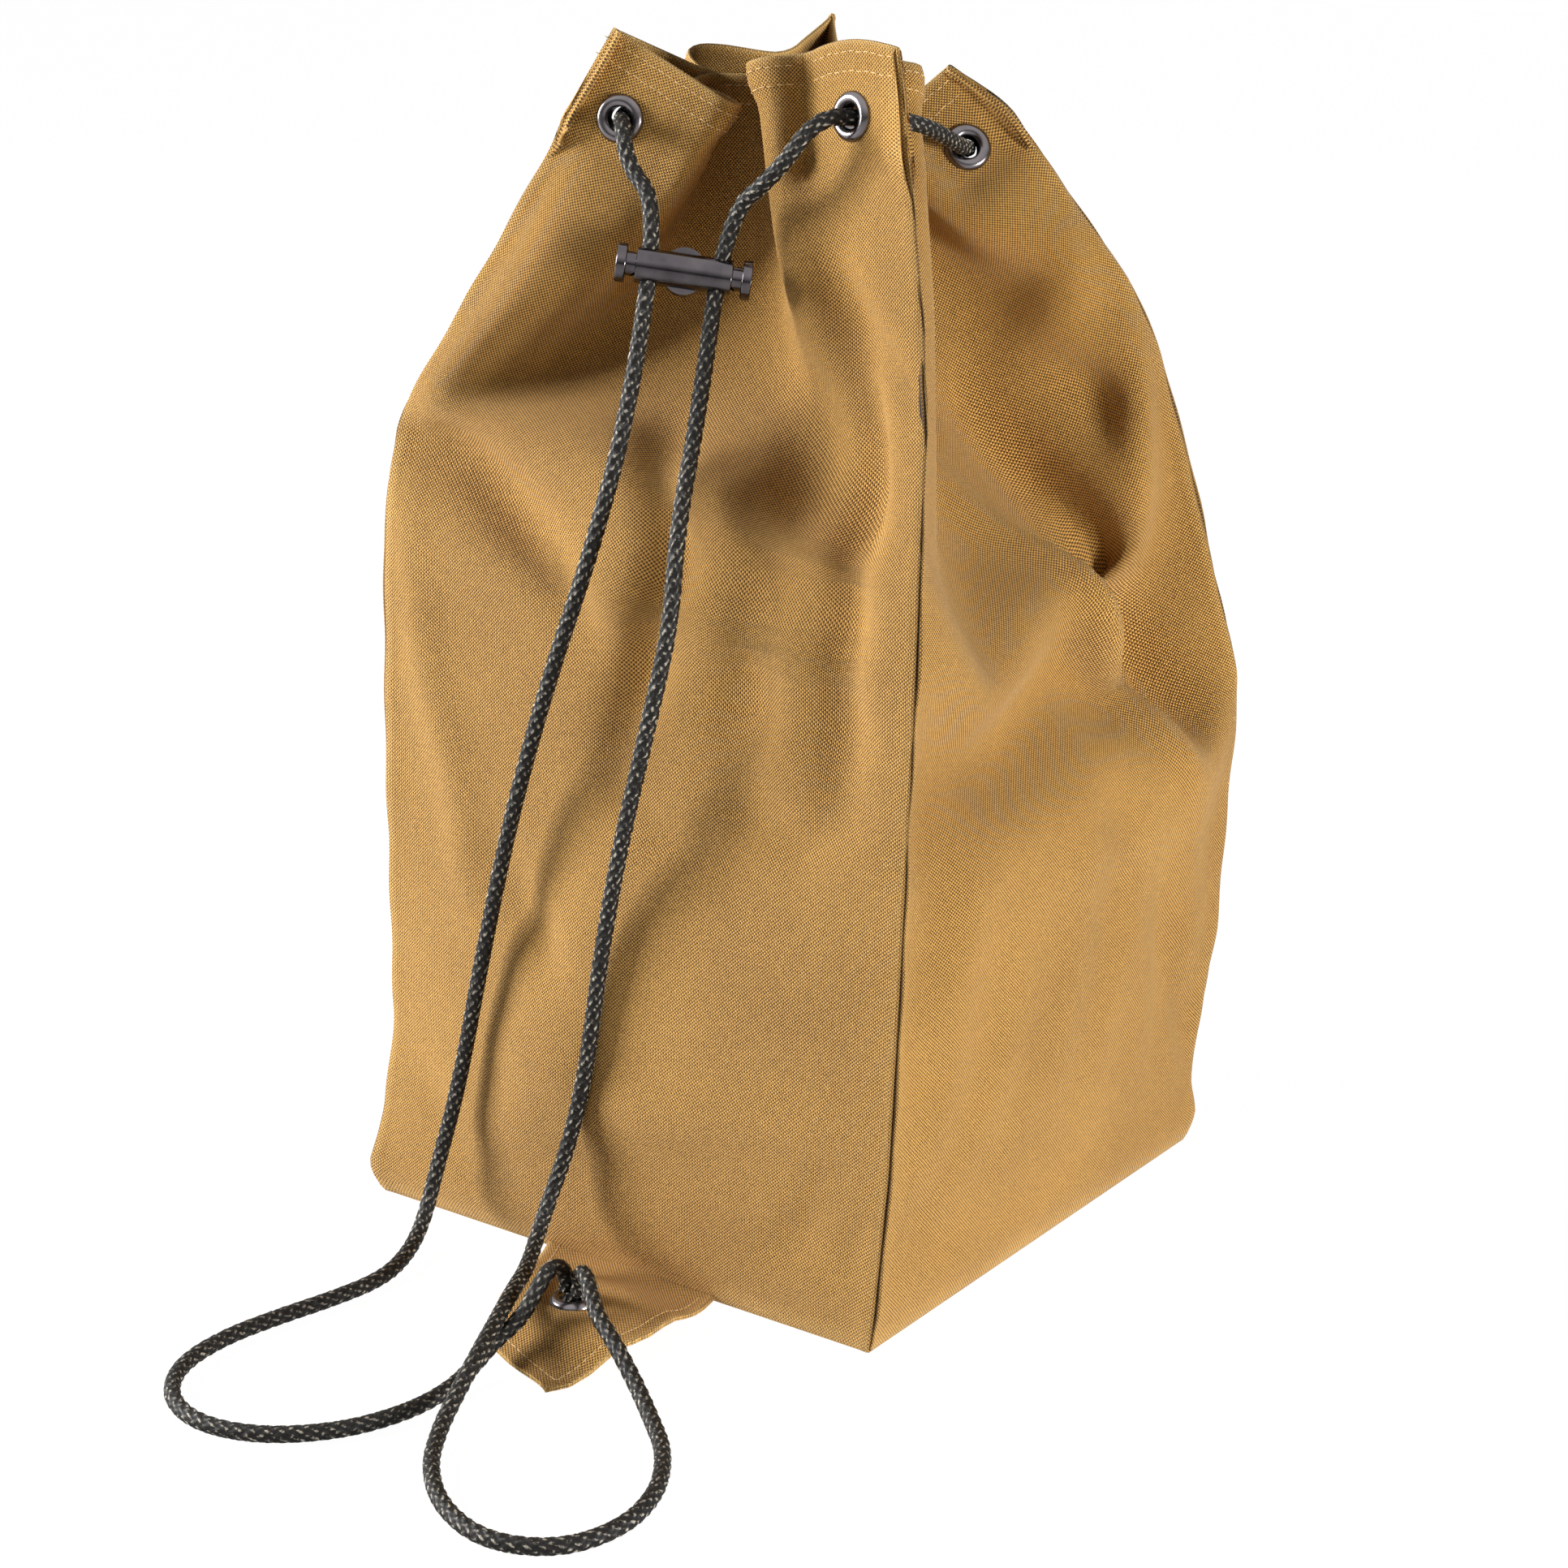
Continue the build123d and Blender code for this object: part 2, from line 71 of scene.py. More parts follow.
# %% [markdown]
# ## Floor and lights
# A white floor that glows a little, as a light table does, so that soft light also comes from
# below and the ground looks almost white. A lamp at the left draws the folds of the front, one low
# at the right lights the side panel, and the world fills the rest.

# %% Colours and the one node helper
def linear(hex_colour):
    """An sRGB hex colour as linear red, green, blue and alpha."""
    parts = [int(hex_colour[i:i + 2], 16) / 255 for i in (1, 3, 5)]
    return (*[p / 12.92 if p < 0.04045 else ((p + 0.055) / 1.055) ** 2.4 for p in parts], 1)


def add(tree, kind, links=None, **settings):
    """Adds a node, sets its settings, and fills its inputs with values or with other outputs."""
    node = tree.nodes.new(kind)
    for name, value in settings.items():
        setattr(node, name, value)
    for name, value in (links or {}).items():
        if isinstance(value, bpy.types.NodeSocket):
            tree.links.new(value, node.inputs[name])
        else:
            node.inputs[name].default_value = value
    return node


def new_material(name):
    """A material with its Principled shader and its node tree."""
    material = bpy.data.materials.new(name)
    material.use_nodes = True
    tree = material.node_tree
    return material, tree, tree.nodes["Principled BSDF"]


# %% World, floor and lamps
world = bpy.data.worlds.new("studio")
bpy.context.scene.world = world
world.use_nodes = True
tree = world.node_tree
ray = add(tree, "ShaderNodeLightPath")
seen = add(tree, "ShaderNodeMath", {0: ray.outputs["Is Camera Ray"],
                                    1: ray.outputs["Is Transmission Ray"]}, operation="MAXIMUM")
plain = add(tree, "ShaderNodeMapRange", {"Value": seen.outputs[0], "To Min": 0.05, "To Max": 1.0})
# metal sees a dark studio with a bright ceiling, which gives it its contrast
way = add(tree, "ShaderNodeTexCoord")
way = add(tree, "ShaderNodeSeparateXYZ", {0: way.outputs["Generated"]})
ceiling = add(tree, "ShaderNodeMapRange", {"Value": way.outputs[2], "From Min": 0.05,
                                           "From Max": 0.6, "To Min": 0.1, "To Max": 1.3})
level = add(tree, "ShaderNodeMix", {"Factor": ray.outputs["Is Glossy Ray"],
                                    "A": plain.outputs[0], "B": ceiling.outputs[0]})
background = tree.nodes["Background"]
background.inputs["Color"].default_value = (1, 1, 1, 1)
tree.links.new(level.outputs[0], background.inputs["Strength"])

bpy.ops.object.select_all(action="DESELECT")
bpy.ops.mesh.primitive_plane_add(size=9, location=(0, 0, -0.0002))
floor = bpy.context.object
floor.name = "studio_floor"
paper, tree, shader = new_material("matt_paper_floor")
shader.inputs["Base Color"].default_value = linear("#F4F4F4")
shader.inputs["Roughness"].default_value = 0.9
ray = add(tree, "ShaderNodeLightPath")
glow = add(tree, "ShaderNodeEmission", {"Color": (1, 1, 1, 1), "Strength": 1.09})
share = add(tree, "ShaderNodeMapRange", {"Value": ray.outputs["Is Camera Ray"], "To Min": 0.5,
                                         "To Max": 0.9})
both = add(tree, "ShaderNodeMixShader",
           {0: share.outputs[0], 1: shader.outputs[0], 2: glow.outputs[0]})
tree.links.new(both.outputs[0], tree.nodes["Material Output"].inputs["Surface"])
floor.data.materials.append(paper)


def lamp(name, place, size, power):
    """A square soft lamp that looks at the middle of the sack."""
    data = bpy.data.lights.new(name, "AREA")
    data.size = size
    data.energy = power
    thing = bpy.data.objects.new(name, data)
    thing.location = place
    toward = Vector((0, 0, 0.18)) - Vector(place)
    thing.rotation_euler = toward.to_track_quat("-Z", "Y").to_euler()
    bpy.context.scene.collection.objects.link(thing)


lamp("key_lamp", (-1.5, -1.0, 0.75), 0.8, 68)
lamp("side_lamp", (1.6, 0.0, 0.06), 0.4, 42)
bpy.context.scene.view_settings.view_transform = "Standard"
print("lamps: key and side")

# %% [markdown]
# ## Cord routes
# The cord's routes come before its looks. Each is a smooth NURBS line that the route's points
# pull towards them: round the mouth, and down each free strand to the tab.

# %% Routes of the cord, in metres
cord_diameter = 0.00476
mouth_run_route = [
    (0.0409, -0.0318, 0.3545), (0.052, -0.0129, 0.3536), (0.0402, 0.0349, 0.3388),
    (0.0295, 0.0549, 0.3358), (-0.0214, 0.0546, 0.3461), (-0.0388, 0.0435, 0.3533),
    (-0.0396, -0.0345, 0.3527), (-0.0267, -0.0495, 0.3502),
]
left_strand_route = [
    (-0.0267, -0.0495, 0.3502), (-0.0215, -0.0555, 0.3491), (-0.0185, -0.0575, 0.339),
    (-0.0048, -0.0601, 0.3283), (-0.0002, -0.0808, 0.2722), (-0.005, -0.095, 0.229),
    (-0.016, -0.1005, 0.194), (-0.031, -0.1025, 0.148), (-0.044, -0.1035, 0.098),
    (-0.055, -0.104, 0.052), (-0.062, -0.1075, 0.024), (-0.061, -0.117, 0.006),
    (-0.055, -0.132, 0.0024), (-0.051, -0.148, 0.0024), (-0.054, -0.166, 0.0024),
    (-0.059, -0.184, 0.0024), (-0.063, -0.204, 0.0024), (-0.061, -0.224, 0.0024),
    (-0.05, -0.239, 0.0024), (-0.032, -0.2455, 0.0024), (-0.012, -0.24, 0.0024),
    (0.004, -0.225, 0.0024), (0.012, -0.207, 0.0024), (0.0135, -0.19, 0.0024),
    (0.0115, -0.176, 0.0036), (0.011, -0.1655, 0.0076), (0.0145, -0.1575, 0.0126),
    (0.0148, -0.151, 0.0185), (0.0146, -0.1432, 0.0245), (0.0146, -0.136, 0.0206),
    (0.0146, -0.136, 0.0136),
]
right_strand_route = [
    (0.0409, -0.0318, 0.3545), (0.0369, -0.0387, 0.3549), (0.028, -0.046, 0.339),
    (0.0112, -0.0485, 0.3254), (0.0159, -0.0692, 0.2693), (0.024, -0.09, 0.241),
    (0.0275, -0.098, 0.215), (0.0225, -0.1015, 0.188), (0.011, -0.103, 0.144),
    (0.003, -0.1035, 0.106), (-0.003, -0.104, 0.068), (-0.01, -0.1055, 0.041),
    (-0.0135, -0.11, 0.026), (-0.0115, -0.119, 0.0165), (-0.0035, -0.133, 0.0142),
    (0.0035, -0.148, 0.0148), (0.0115, -0.164, 0.015), (0.019, -0.183, 0.012),
    (0.0225, -0.196, 0.0064), (0.027, -0.208, 0.0029), (0.038, -0.225, 0.0024),
    (0.055, -0.239, 0.0024), (0.076, -0.2455, 0.0024), (0.095, -0.237, 0.0024),
    (0.102, -0.218, 0.0024), (0.098, -0.198, 0.0024), (0.086, -0.18, 0.0024),
    (0.073, -0.169, 0.0029), (0.061, -0.161, 0.007), (0.048, -0.155, 0.0145),
    (0.036, -0.149, 0.018), (0.0264, -0.141, 0.0245), (0.0194, -0.136, 0.0206),
    (0.0194, -0.136, 0.0136),
]
# the knot: down through the tab's grommet, once round, and back across itself
knot_route = [
    (0.017, -0.136, 0.0138), (0.017, -0.136, 0.0105), (0.0168, -0.1362, 0.0068),
    (0.0135, -0.1375, 0.0045), (0.0133, -0.1335, 0.0035), (0.017, -0.1318, 0.0032),
    (0.0208, -0.1338, 0.0033), (0.0208, -0.138, 0.0037), (0.0172, -0.1402, 0.0042),
    (0.0136, -0.1388, 0.0046),
]


def smooth_line(points):
    """Points along the NURBS line that a route's points control."""
    data = bpy.data.curves.new("route", "CURVE")
    data.dimensions = "3D"
    data.resolution_u = 30
    spline = data.splines.new("NURBS")
    spline.points.add(len(points) - 1)
    for point, place in zip(spline.points, points):
        point.co = (*place, 1)
    spline.order_u = 3
    spline.use_endpoint_u = True
    thing = bpy.data.objects.new("route", data)
    mesh = bpy.data.meshes.new_from_object(thing)
    line = np.array([v.co for v in mesh.vertices])
    bpy.data.objects.remove(thing)
    return line


# %% [markdown]
# ## The braided cord
# Solid braid looks like rows of short slanted stitches that cross over and under each other. A
# plain tube with a bump would look flat where the cord is seen from close by, so the stitches are
# real relief: every ring of the tube follows a pattern of two families of strands, and the
# strand on top stands a third of a millimetre proud. How high a point stands is also kept as an
# attribute, for the material.

# %% Helpers for new meshes
def new_piece(name, places, faces):
    """A new smooth object from points in metres and faces."""
    mesh = bpy.data.meshes.new(name)
    mesh.from_pydata(places, [], faces)
    mesh.polygons.foreach_set("use_smooth", [True] * len(mesh.polygons))
    thing = bpy.data.objects.new(name, mesh)
    bpy.context.scene.collection.objects.link(thing)
    return thing


def face_outward(thing):
    """Removes loose points and edges, and turns every face outward."""
    bpy.ops.object.select_all(action="DESELECT")
    bpy.context.view_layer.objects.active = thing
    thing.select_set(True)
    bpy.ops.object.mode_set(mode="EDIT")
    bpy.ops.mesh.select_all(action="SELECT")
    bpy.ops.mesh.delete_loose(use_verts=True, use_edges=True, use_faces=False)
    bpy.ops.mesh.select_all(action="SELECT")
    bpy.ops.mesh.normals_make_consistent(inside=False)
    bpy.ops.object.mode_set(mode="OBJECT")


# %% A braided tube along a line
def braided_cord(name, points, stitch=0.0021, strands=6, sides=36, relief=0.00034):
    """A closed tube with braid relief along a route; returns the object and its line."""
    line = smooth_line(points)
    gone = np.r_[0, np.cumsum(np.linalg.norm(np.diff(line, axis=0), axis=1))]
    count = int(gone[-1] / 0.0005) + 1
    at = np.linspace(0, gone[-1], count)
    centre = np.column_stack([np.interp(at, gone, line[:, k]) for k in range(3)])
    along = np.gradient(centre, axis=0)
    along /= np.linalg.norm(along, axis=1)[:, None]
    side = np.zeros_like(centre)
    side[0] = Vector(along[0]).orthogonal().normalized()
    for i in range(1, count):
        turned = side[i - 1] - along[i] * side[i - 1].dot(along[i])
        side[i] = turned / np.linalg.norm(turned)
    other = np.cross(along, side)
    angle = np.linspace(0, 2 * math.pi, sides, endpoint=False)
    round_a = strands * angle[None, :] / (2 * math.pi)
    step = at[:, None] / (2 * stitch)
    family_a = round_a + step
    family_b = round_a - step
    across_a = 1 - (2 * (family_a % 1) - 1) ** 2
    across_b = 1 - (2 * (family_b % 1) - 1) ** 2
    over = np.sin(math.pi * (family_b + np.floor(family_a)))
    height = np.maximum(across_a * (0.5 + 0.5 * over), across_b * (0.5 - 0.5 * over))
    radius = cord_diameter / 2 - relief + relief * 1.5 * height
    rings = centre[:, None, :] + radius[:, :, None] * (
        np.cos(angle)[None, :, None] * side[:, None, :]
        + np.sin(angle)[None, :, None] * other[:, None, :])
    places = np.vstack([rings.reshape(-1, 3), centre[:1], centre[-1:]])
    faces = []
    for i in range(count - 1):
        for k in range(sides):
            n = (k + 1) % sides
            faces.append((i * sides + k, i * sides + n, (i + 1) * sides + n, (i + 1) * sides + k))
    last = (count - 1) * sides
    for k in range(sides):
        n = (k + 1) % sides
        faces.append((n, k, count * sides))
        faces.append((last + k, last + n, count * sides + 1))
    thing = new_piece(name, places.tolist(), faces)
    raised = thing.data.attributes.new("raised", "FLOAT", "POINT")
    raised.data.foreach_set("value", np.r_[height.ravel(), 0.3, 0.3].astype(np.float32))
    print(name, "length", round(float(gone[-1]), 4), "faces", len(faces))
    return thing, centre, float(gone[-1])


# %% [markdown]
# ### Black braided nylon
# Solid-braid polyamide: black, with a painted highlight in pale grey on the crown of each stitch,
# broken up by fibre flecks. Dyed fibre is matt in the hollows and a little glossy on the crowns.

# %% Cord material
braid, tree, shader = new_material("black_solid_braid_nylon")
raised = add(tree, "ShaderNodeAttribute", attribute_name="raised")
place = add(tree, "ShaderNodeTexCoord")
fleck = add(tree, "ShaderNodeTexNoise", {"Vector": place.outputs["Object"], "Scale": 900.0,
                                         "Detail": 2.0, "Roughness": 0.6})
# painted highlight: the raised crowns of the stitches turn pale grey where the fleck noise is high
crown_highlight_and_flecks = add(tree, "ShaderNodeMath", {0: raised.outputs["Fac"], 1: fleck.outputs["Fac"]},
             operation="MULTIPLY")
tint = add(tree, "ShaderNodeValToRGB", {"Fac": crown_highlight_and_flecks.outputs[0]})
tint.color_ramp.elements[0].position = 0.06
tint.color_ramp.elements[0].color = linear("#040302")
tint.color_ramp.elements[1].position = 0.6
tint.color_ramp.elements[1].color = linear("#B4AC9C")
middle = tint.color_ramp.elements.new(0.4)
middle.color = linear("#14110D")
bump = add(tree, "ShaderNodeBump", {"Strength": 0.5, "Distance": 0.0002,
                                    "Height": fleck.outputs["Fac"]})
gloss = add(tree, "ShaderNodeMapRange", {"Value": raised.outputs["Fac"], "To Min": 0.8,
                                         "To Max": 0.42})
tree.links.new(tint.outputs[0], shader.inputs["Base Color"])
tree.links.new(bump.outputs[0], shader.inputs["Normal"])
tree.links.new(gloss.outputs[0], shader.inputs["Roughness"])
shader.inputs["Specular IOR Level"].default_value = 0.3

# %% Make the cord's pieces
cord_lengths = {}
for name, route, node in (
        ("drawcord_mouth_run_braid", mouth_run_route, "drawcord_mouth_run"),
        ("drawcord_left_strand_braid", left_strand_route, "drawcord_left_strand"),
        ("drawcord_right_strand_braid", right_strand_route, "drawcord_right_strand"),
        ("cord_end_knot_braid", knot_route, "cord_end_knot")):
    thing, line, length = braided_cord(name, route)
    thing.data.materials.append(braid)
    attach(thing, "bag")
    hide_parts(node)
    cord_lengths[name] = (thing, line, length)
knot = cord_lengths["cord_end_knot_braid"][0]
lock_nodes = [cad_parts[n] for n in ("lock_barrel", "lock_plunger_left", "lock_plunger_right",
                                          "lock_spring")]
for name, going in (("drawcord_left_strand_braid", [knot, *lock_nodes]),
                    ("drawcord_right_strand_braid", [])):
    thing, line, length = cord_lengths[name]

# %% [markdown]
# ## The bag's cloth
# The four panels are one tube of stiff coated nylon, 772 mm round and 400 mm high. A tube that is
# gathered at the top can't stay smooth: the spare cloth must fold, and how it folds is what makes
# the bag look real. So the flat tube is simulated as cloth. Its base is held on the square, the
# corner seams are held on the lines that they stand on, the cloth round each pair of grommets is
# held flat, and everything else finds its own folds while the mouth is drawn in.

# %% Where the gathered mouth and the corner seams are held, in millimetres
panel_width = 193.0
cloth_height = 400.0
corner_order = ("front_left", "front_right", "back_right", "back_left")
base_corner = {"front_left": (-97.5, -95.5), "front_right": (97.5, -95.5),
               "back_right": (97.5, 95.5), "back_left": (-97.5, 95.5)}
# tip: top of the fold.  edge: its line below the tip.  axis, half: heading of the fold and half
# the angle of its flanks.  before, after: length of the flank on each side.  fold: how far the
# fold is from the seam.  eyelet, drop: where the grommet is, from the fold and from the tip.
corner_folds = {
    "front_left": dict(tip=(-31, -46.6, 377), edge=(-0.443, -0.231, -0.864), axis=44, half=26,
                       before=36, after=44, fold=5, eyelet=14.5, drop=22),
    "front_right": dict(tip=(60, -31, 375), edge=(0.12, -0.12, -0.985), axis=150, half=20,
                        before=44, after=36, fold=0, eyelet=20, drop=18),
    "back_right": dict(tip=(28, 45, 363), edge=(0.648, 0.239, -0.723), axis=213, half=31,
                       before=32, after=32, fold=-2, eyelet=14, drop=23),
    "back_left": dict(tip=(-24, 56, 375), edge=(-0.509, 0.264, -0.818), axis=293, half=20,
                      before=30, after=30, fold=0, eyelet=16, drop=22),
}
seam_lines = {
    "front_left": [(-97.5, -95.5, 0), (-101.5, -99, 9), (-98, -94, 30), (-95, -91, 60),
                   (-95, -90, 150), (-95, -86, 225), (-93.5, -81, 257), (-31, -46.6, 377)],
    "front_right": [(97.5, -95.5, 0), (99.5, -95.5, 12), (102, -92, 58), (104, -91, 109),
                    (105, -90, 146), (105, -86, 206), (102, -80, 239), (95, -67, 273),
                    (86, -55, 297), (69, -38, 344), (60, -31, 375)],
    "back_right": [(97.5, 95.5, 0), (101, 97, 10), (101, 92, 25), (105, 92, 56), (108, 93, 79),
                   (111, 95, 169), (96, 84, 239), (87, 78, 275), (79, 72, 297), (47, 50, 351),
                   (28, 45, 363)],
    "back_left": [(-97.5, 95.5, 0), (-101, 98, 9), (-97, 94, 35), (-97, 92, 120), (-95, 90, 210),
                  (-86, 82, 262), (-24, 56, 375)],
}
# the pleat in the front rim: arc from the seam, place, line below it, and how firmly it is held
front_pleat = [
    (54, (-1, -30, 356.0), (-0.07, -0.36, -0.93), 0.0),
    (78, (-22, -22, 361.6), (-0.05, -0.15, -0.98), 0.0),
    (86, (-16, -18, 362.0), (0, -0.15, -0.98), 0.5),
    (101, (-3.3, -8.6, 365.0), (0.05, -0.15, -0.98), 0.6),
    (112, (5, -3.5, 365.7), (0.1, -0.14, -0.98), 0.5),
    (121, (12, 3, 364.0), (0.15, -0.1, -0.98), 0.0),
    (143, (16, -16, 369.0), (0.2, -0.1, -0.97), 0.0),
]
# where the middle of each other rim is drawn in: arcs, place
drawn_in = {"front_right": (88, 106, (2, 10, 352)), "back_right": (90, 104, (-4, 30, 350)),
            "back_left": (92, 104, (-18, 6, 356))}
# how far each panel stands out at its middle, from the base up
belly = {"front_left": 9.0, "front_right": 3.5, "back_right": 3.0, "back_left": 3.0}
flank_lift = 4.0           # the front right flank's rim arches up by this much


def unit(v):
    v = np.array(v, float)
    return v / np.linalg.norm(v)


def flank_line(corner, side):
    """Rim direction of the flank before (+1) or after (-1) a corner, square to the fold."""
    data = corner_folds[corner]
    turn = math.radians(data["axis"] + side * data["half"])
    edge = unit(data["edge"])
    x, y = math.cos(turn), math.sin(turn)
    return unit((x, y, -(x * edge[0] + y * edge[1]) / edge[2]))


def seam_point(corner, height):
    """The corner seam's place at a height along the cloth."""
    points = np.array(seam_lines[corner], float)
    gone = np.r_[0, np.cumsum(np.linalg.norm(np.diff(points, axis=0), axis=1))]
    gone *= cloth_height / gone[-1]
    return np.array([np.interp(height, gone, points[:, k]) for k in range(3)])


def flank_point(corner, side, out, below):
    """A point of the flat cloth of a flank: out from the fold, and below the rim."""
    data = corner_folds[corner]
    place = np.array(data["tip"]) + flank_line(corner, side) * out + unit(data["edge"]) * below
    if corner == "front_right" and side > 0:
        place = place - unit(data["edge"]) * flank_lift * math.sin(math.pi * min(out / 44, 1))
    return place


# %% The cloth's grid, and where each of its points is led
columns = 30               # a panel
rows = 62
round_count = 4 * columns
held_depth = 36.0
start = np.zeros((rows + 1, round_count, 3))
goal = np.zeros_like(start)
firm = np.zeros((rows + 1, round_count))


def lead(row, column, place, weight):
    if firm[row, column] < weight:
        goal[row, column] = place
        firm[row, column] = weight


pleat_at = [p[0] for p in front_pleat]
for number, corner in enumerate(corner_order):
    following = corner_order[(number + 1) % 4]
    a = np.array(base_corner[corner])
    b = np.array(base_corner[following])
    outward = np.array([(b - a)[1], -(b - a)[0]]) / np.linalg.norm(b - a)
    for i in range(columns):
        share = i / columns
        arc = share * panel_width
        bulge = math.sin(math.pi * share)
        column = number * columns + i
        for row in range(rows + 1):
            height = cloth_height * row / rows
            below = cloth_height - height
            flat = a + (b - a) * share
            upper = max(0, (height - 200) / 200) ** 1.5
            start[row, column] = (*(flat - outward * 8 * bulge * upper), height)
            if i == 0:
                lead(row, column, seam_point(corner, height), 1.0)
            if height < 6:
                lead(row, column, (*flat, height), 1.0)
            elif height < 215:
                between = seam_point(corner, height) * (1 - share)
                between = between + seam_point(following, height) * share
                fullness = bulge ** 0.7 * min(1, height / 60, (260 - height) / 80)
                out = outward * belly[corner] * fullness
                softly = 0.7 * (1 - (height - 10) / 215)
                lead(row, column, (*(between[:2] + out), between[2]), softly)
            if below >= held_depth:
                continue
            for at, side, along in ((corner, -1, arc), (following, 1, arc - panel_width)):
                data = corner_folds[at]
                out = along - data["fold"]
                reach = data["after"] if side < 0 else data["before"]
                if at == "front_left" and side < 0 or at == "front_right" and side > 0:
                    reach = reach / 0.93
                if abs(out) < reach * 0.93:
                    flank = -1 if out > 0 else 1
                    lead(row, column, flank_point(at, flank, abs(out), below), 1.0)
            if corner in drawn_in and below < 14:
                near, far, place = drawn_in[corner]
                if near <= arc <= far:
                    lead(row, column, np.array(place) - np.array((0, 0, below)), 0.5)
            if corner == "front_left" and pleat_at[0] <= arc <= pleat_at[-1]:
                k = min(int(np.searchsorted(pleat_at, arc, side="right")) - 1, len(front_pleat) - 2)
                near, far = front_pleat[k], front_pleat[k + 1]
                part = (arc - near[0]) / (far[0] - near[0])
                weight = min(near[3], far[3])
                if weight > 0:
                    place = np.array(near[1]) * (1 - part) + np.array(far[1]) * part
                    down = unit(np.array(near[2]) * (1 - part) + np.array(far[2]) * part)
                    lead(row, column, place + down * below, weight * (1 if below < 14 else 0.5))
print("cloth grid", start.shape, "held points", int((firm > 0.9).sum()))

# %% Simulate the gathering, ten times life size, where the solver is steadier
scale = 0.01
faces = []
for row in range(rows):
    for i in range(round_count):
        n = (i + 1) % round_count
        faces.append((row * round_count + i, row * round_count + n,
                      (row + 1) * round_count + n, (row + 1) * round_count + i))
mesh = bpy.data.meshes.new("flat_cloth")
mesh.from_pydata((start.reshape(-1, 3) * scale).tolist(), [], faces)
tube = bpy.data.objects.new("flat_cloth", mesh)
bpy.context.scene.collection.objects.link(tube)
tube.shape_key_add(name="Basis")
drawn = tube.shape_key_add(name="drawn_in")
led = np.where(firm.reshape(-1, 1) > 0, goal.reshape(-1, 3), start.reshape(-1, 3)) * scale
drawn.data.foreach_set("co", led.astype(np.float32).ravel())
drawn.value = 0
drawn.keyframe_insert("value", frame=1)
drawn.value = 1
drawn.keyframe_insert("value", frame=30)
group = tube.vertex_groups.new(name="held")
weights = np.round(firm.ravel(), 3)
for weight in sorted(set(weights[weights > 0])):
    group.add(np.where(weights == weight)[0].tolist(), float(weight), "REPLACE")
cloth = tube.modifiers.new("Cloth", "CLOTH")
nature = dict(quality=7, mass=0.3, tension_stiffness=40, compression_stiffness=40,
              shear_stiffness=10, bending_stiffness=5, tension_damping=10,
              compression_damping=10, shear_damping=10, bending_damping=0.5, air_damping=2,
              vertex_group_mass="held", pin_stiffness=1.0)
for name, value in nature.items():
    setattr(cloth.settings, name, value)
cloth.settings.effector_weights.gravity = 0.15
touching = dict(use_collision=False, use_self_collision=True, self_distance_min=0.018,
                collision_quality=3, self_friction=5)
for name, value in touching.items():
    setattr(cloth.collision_settings, name, value)
last_frame = 60
cloth.point_cache.frame_start = 1
cloth.point_cache.frame_end = last_frame
for number in range(1, last_frame + 1):
    bpy.context.scene.frame_set(number)
folded = bpy.data.meshes.new_from_object(tube.evaluated_get(bpy.context.evaluated_depsgraph_get()))
grid = np.array([v.co for v in folded.vertices]).reshape(rows + 1, round_count, 3) / scale
bpy.data.objects.remove(tube)
bpy.data.meshes.remove(folded)
bpy.context.scene.frame_set(1)
# the coarse grid leaves ripples of its own width, which a few gentle passes take out
free = np.where(firm > 0.9, 0.0, 0.5)
free[:, ::columns] = 0
free[[0, 1, -2, -1]] = 0
for turn in range(4):
    beside = (np.roll(grid, 1, 1) + np.roll(grid, -1, 1)) / 2
    above = (np.roll(grid, 1, 0) + np.roll(grid, -1, 0)) / 2
    grid += free[..., None] * ((beside + above) / 2 - grid)
print("folded cloth from", grid.min((0, 1)).round(1), "to", grid.max((0, 1)).round(1))

# %% [markdown]
# ## From the folded grid to real panels
# The grid is coarse and has no thickness. It is read as a smooth surface, and each panel is made
# anew from it as a closed sheet: one ply thick, two in the hem, with its edges tucked into the
# corner seams, a rolled rim, and a hole under each grommet. Every point keeps where it is on the
# flat cloth, so that the weave follows the folds.

# %% Read the folded grid as a smooth surface
def smooth_weights(t):
    """The four weights of a smooth (Catmull-Rom) curve between its second and third point."""
    return (-0.5 * t + t * t - 0.5 * t ** 3, 1 - 2.5 * t * t + 1.5 * t ** 3,
            0.5 * t + 2 * t * t - 1.5 * t ** 3, -0.5 * t * t + 0.5 * t ** 3)


def cloth_at(number, arc, below):
    """Points of the folded cloth: arc along panel number, and below the rim."""
    u = number * columns + np.asarray(arc) / panel_width * columns
    v = np.clip((cloth_height - np.asarray(below)) / cloth_height * rows, 0, rows - 1e-9)
    iu = np.floor(u).astype(int)
    iv = np.floor(v).astype(int)
    total = np.zeros(u.shape + (3,))
    for k, wu in enumerate(smooth_weights(u - iu)):
        for m, wv in enumerate(smooth_weights(v - iv)):
            row = iv - 1 + m
            low = np.clip(row, 0, rows)
            picked = grid[low, (iu - 1 + k) % round_count]
            beyond = (row - low)[..., None]
            inner = grid[np.clip(low - np.sign(row - low), 0, rows), (iu - 1 + k) % round_count]
            total += (wu * wv)[..., None] * (picked + beyond * (picked - inner) * np.abs(beyond))
    return total


def cloth_outward(number, arc, below):
    """The cloth's outward direction there."""
    across = cloth_at(number, arc + 0.4, below) - cloth_at(number, arc - 0.4, below)
    upward = cloth_at(number, arc, np.maximum(below - 0.4, 0)) - cloth_at(
        number, arc, np.minimum(below + 0.4, cloth_height))
    normal = np.cross(across, upward)
    return normal / np.linalg.norm(normal, axis=-1)[..., None]


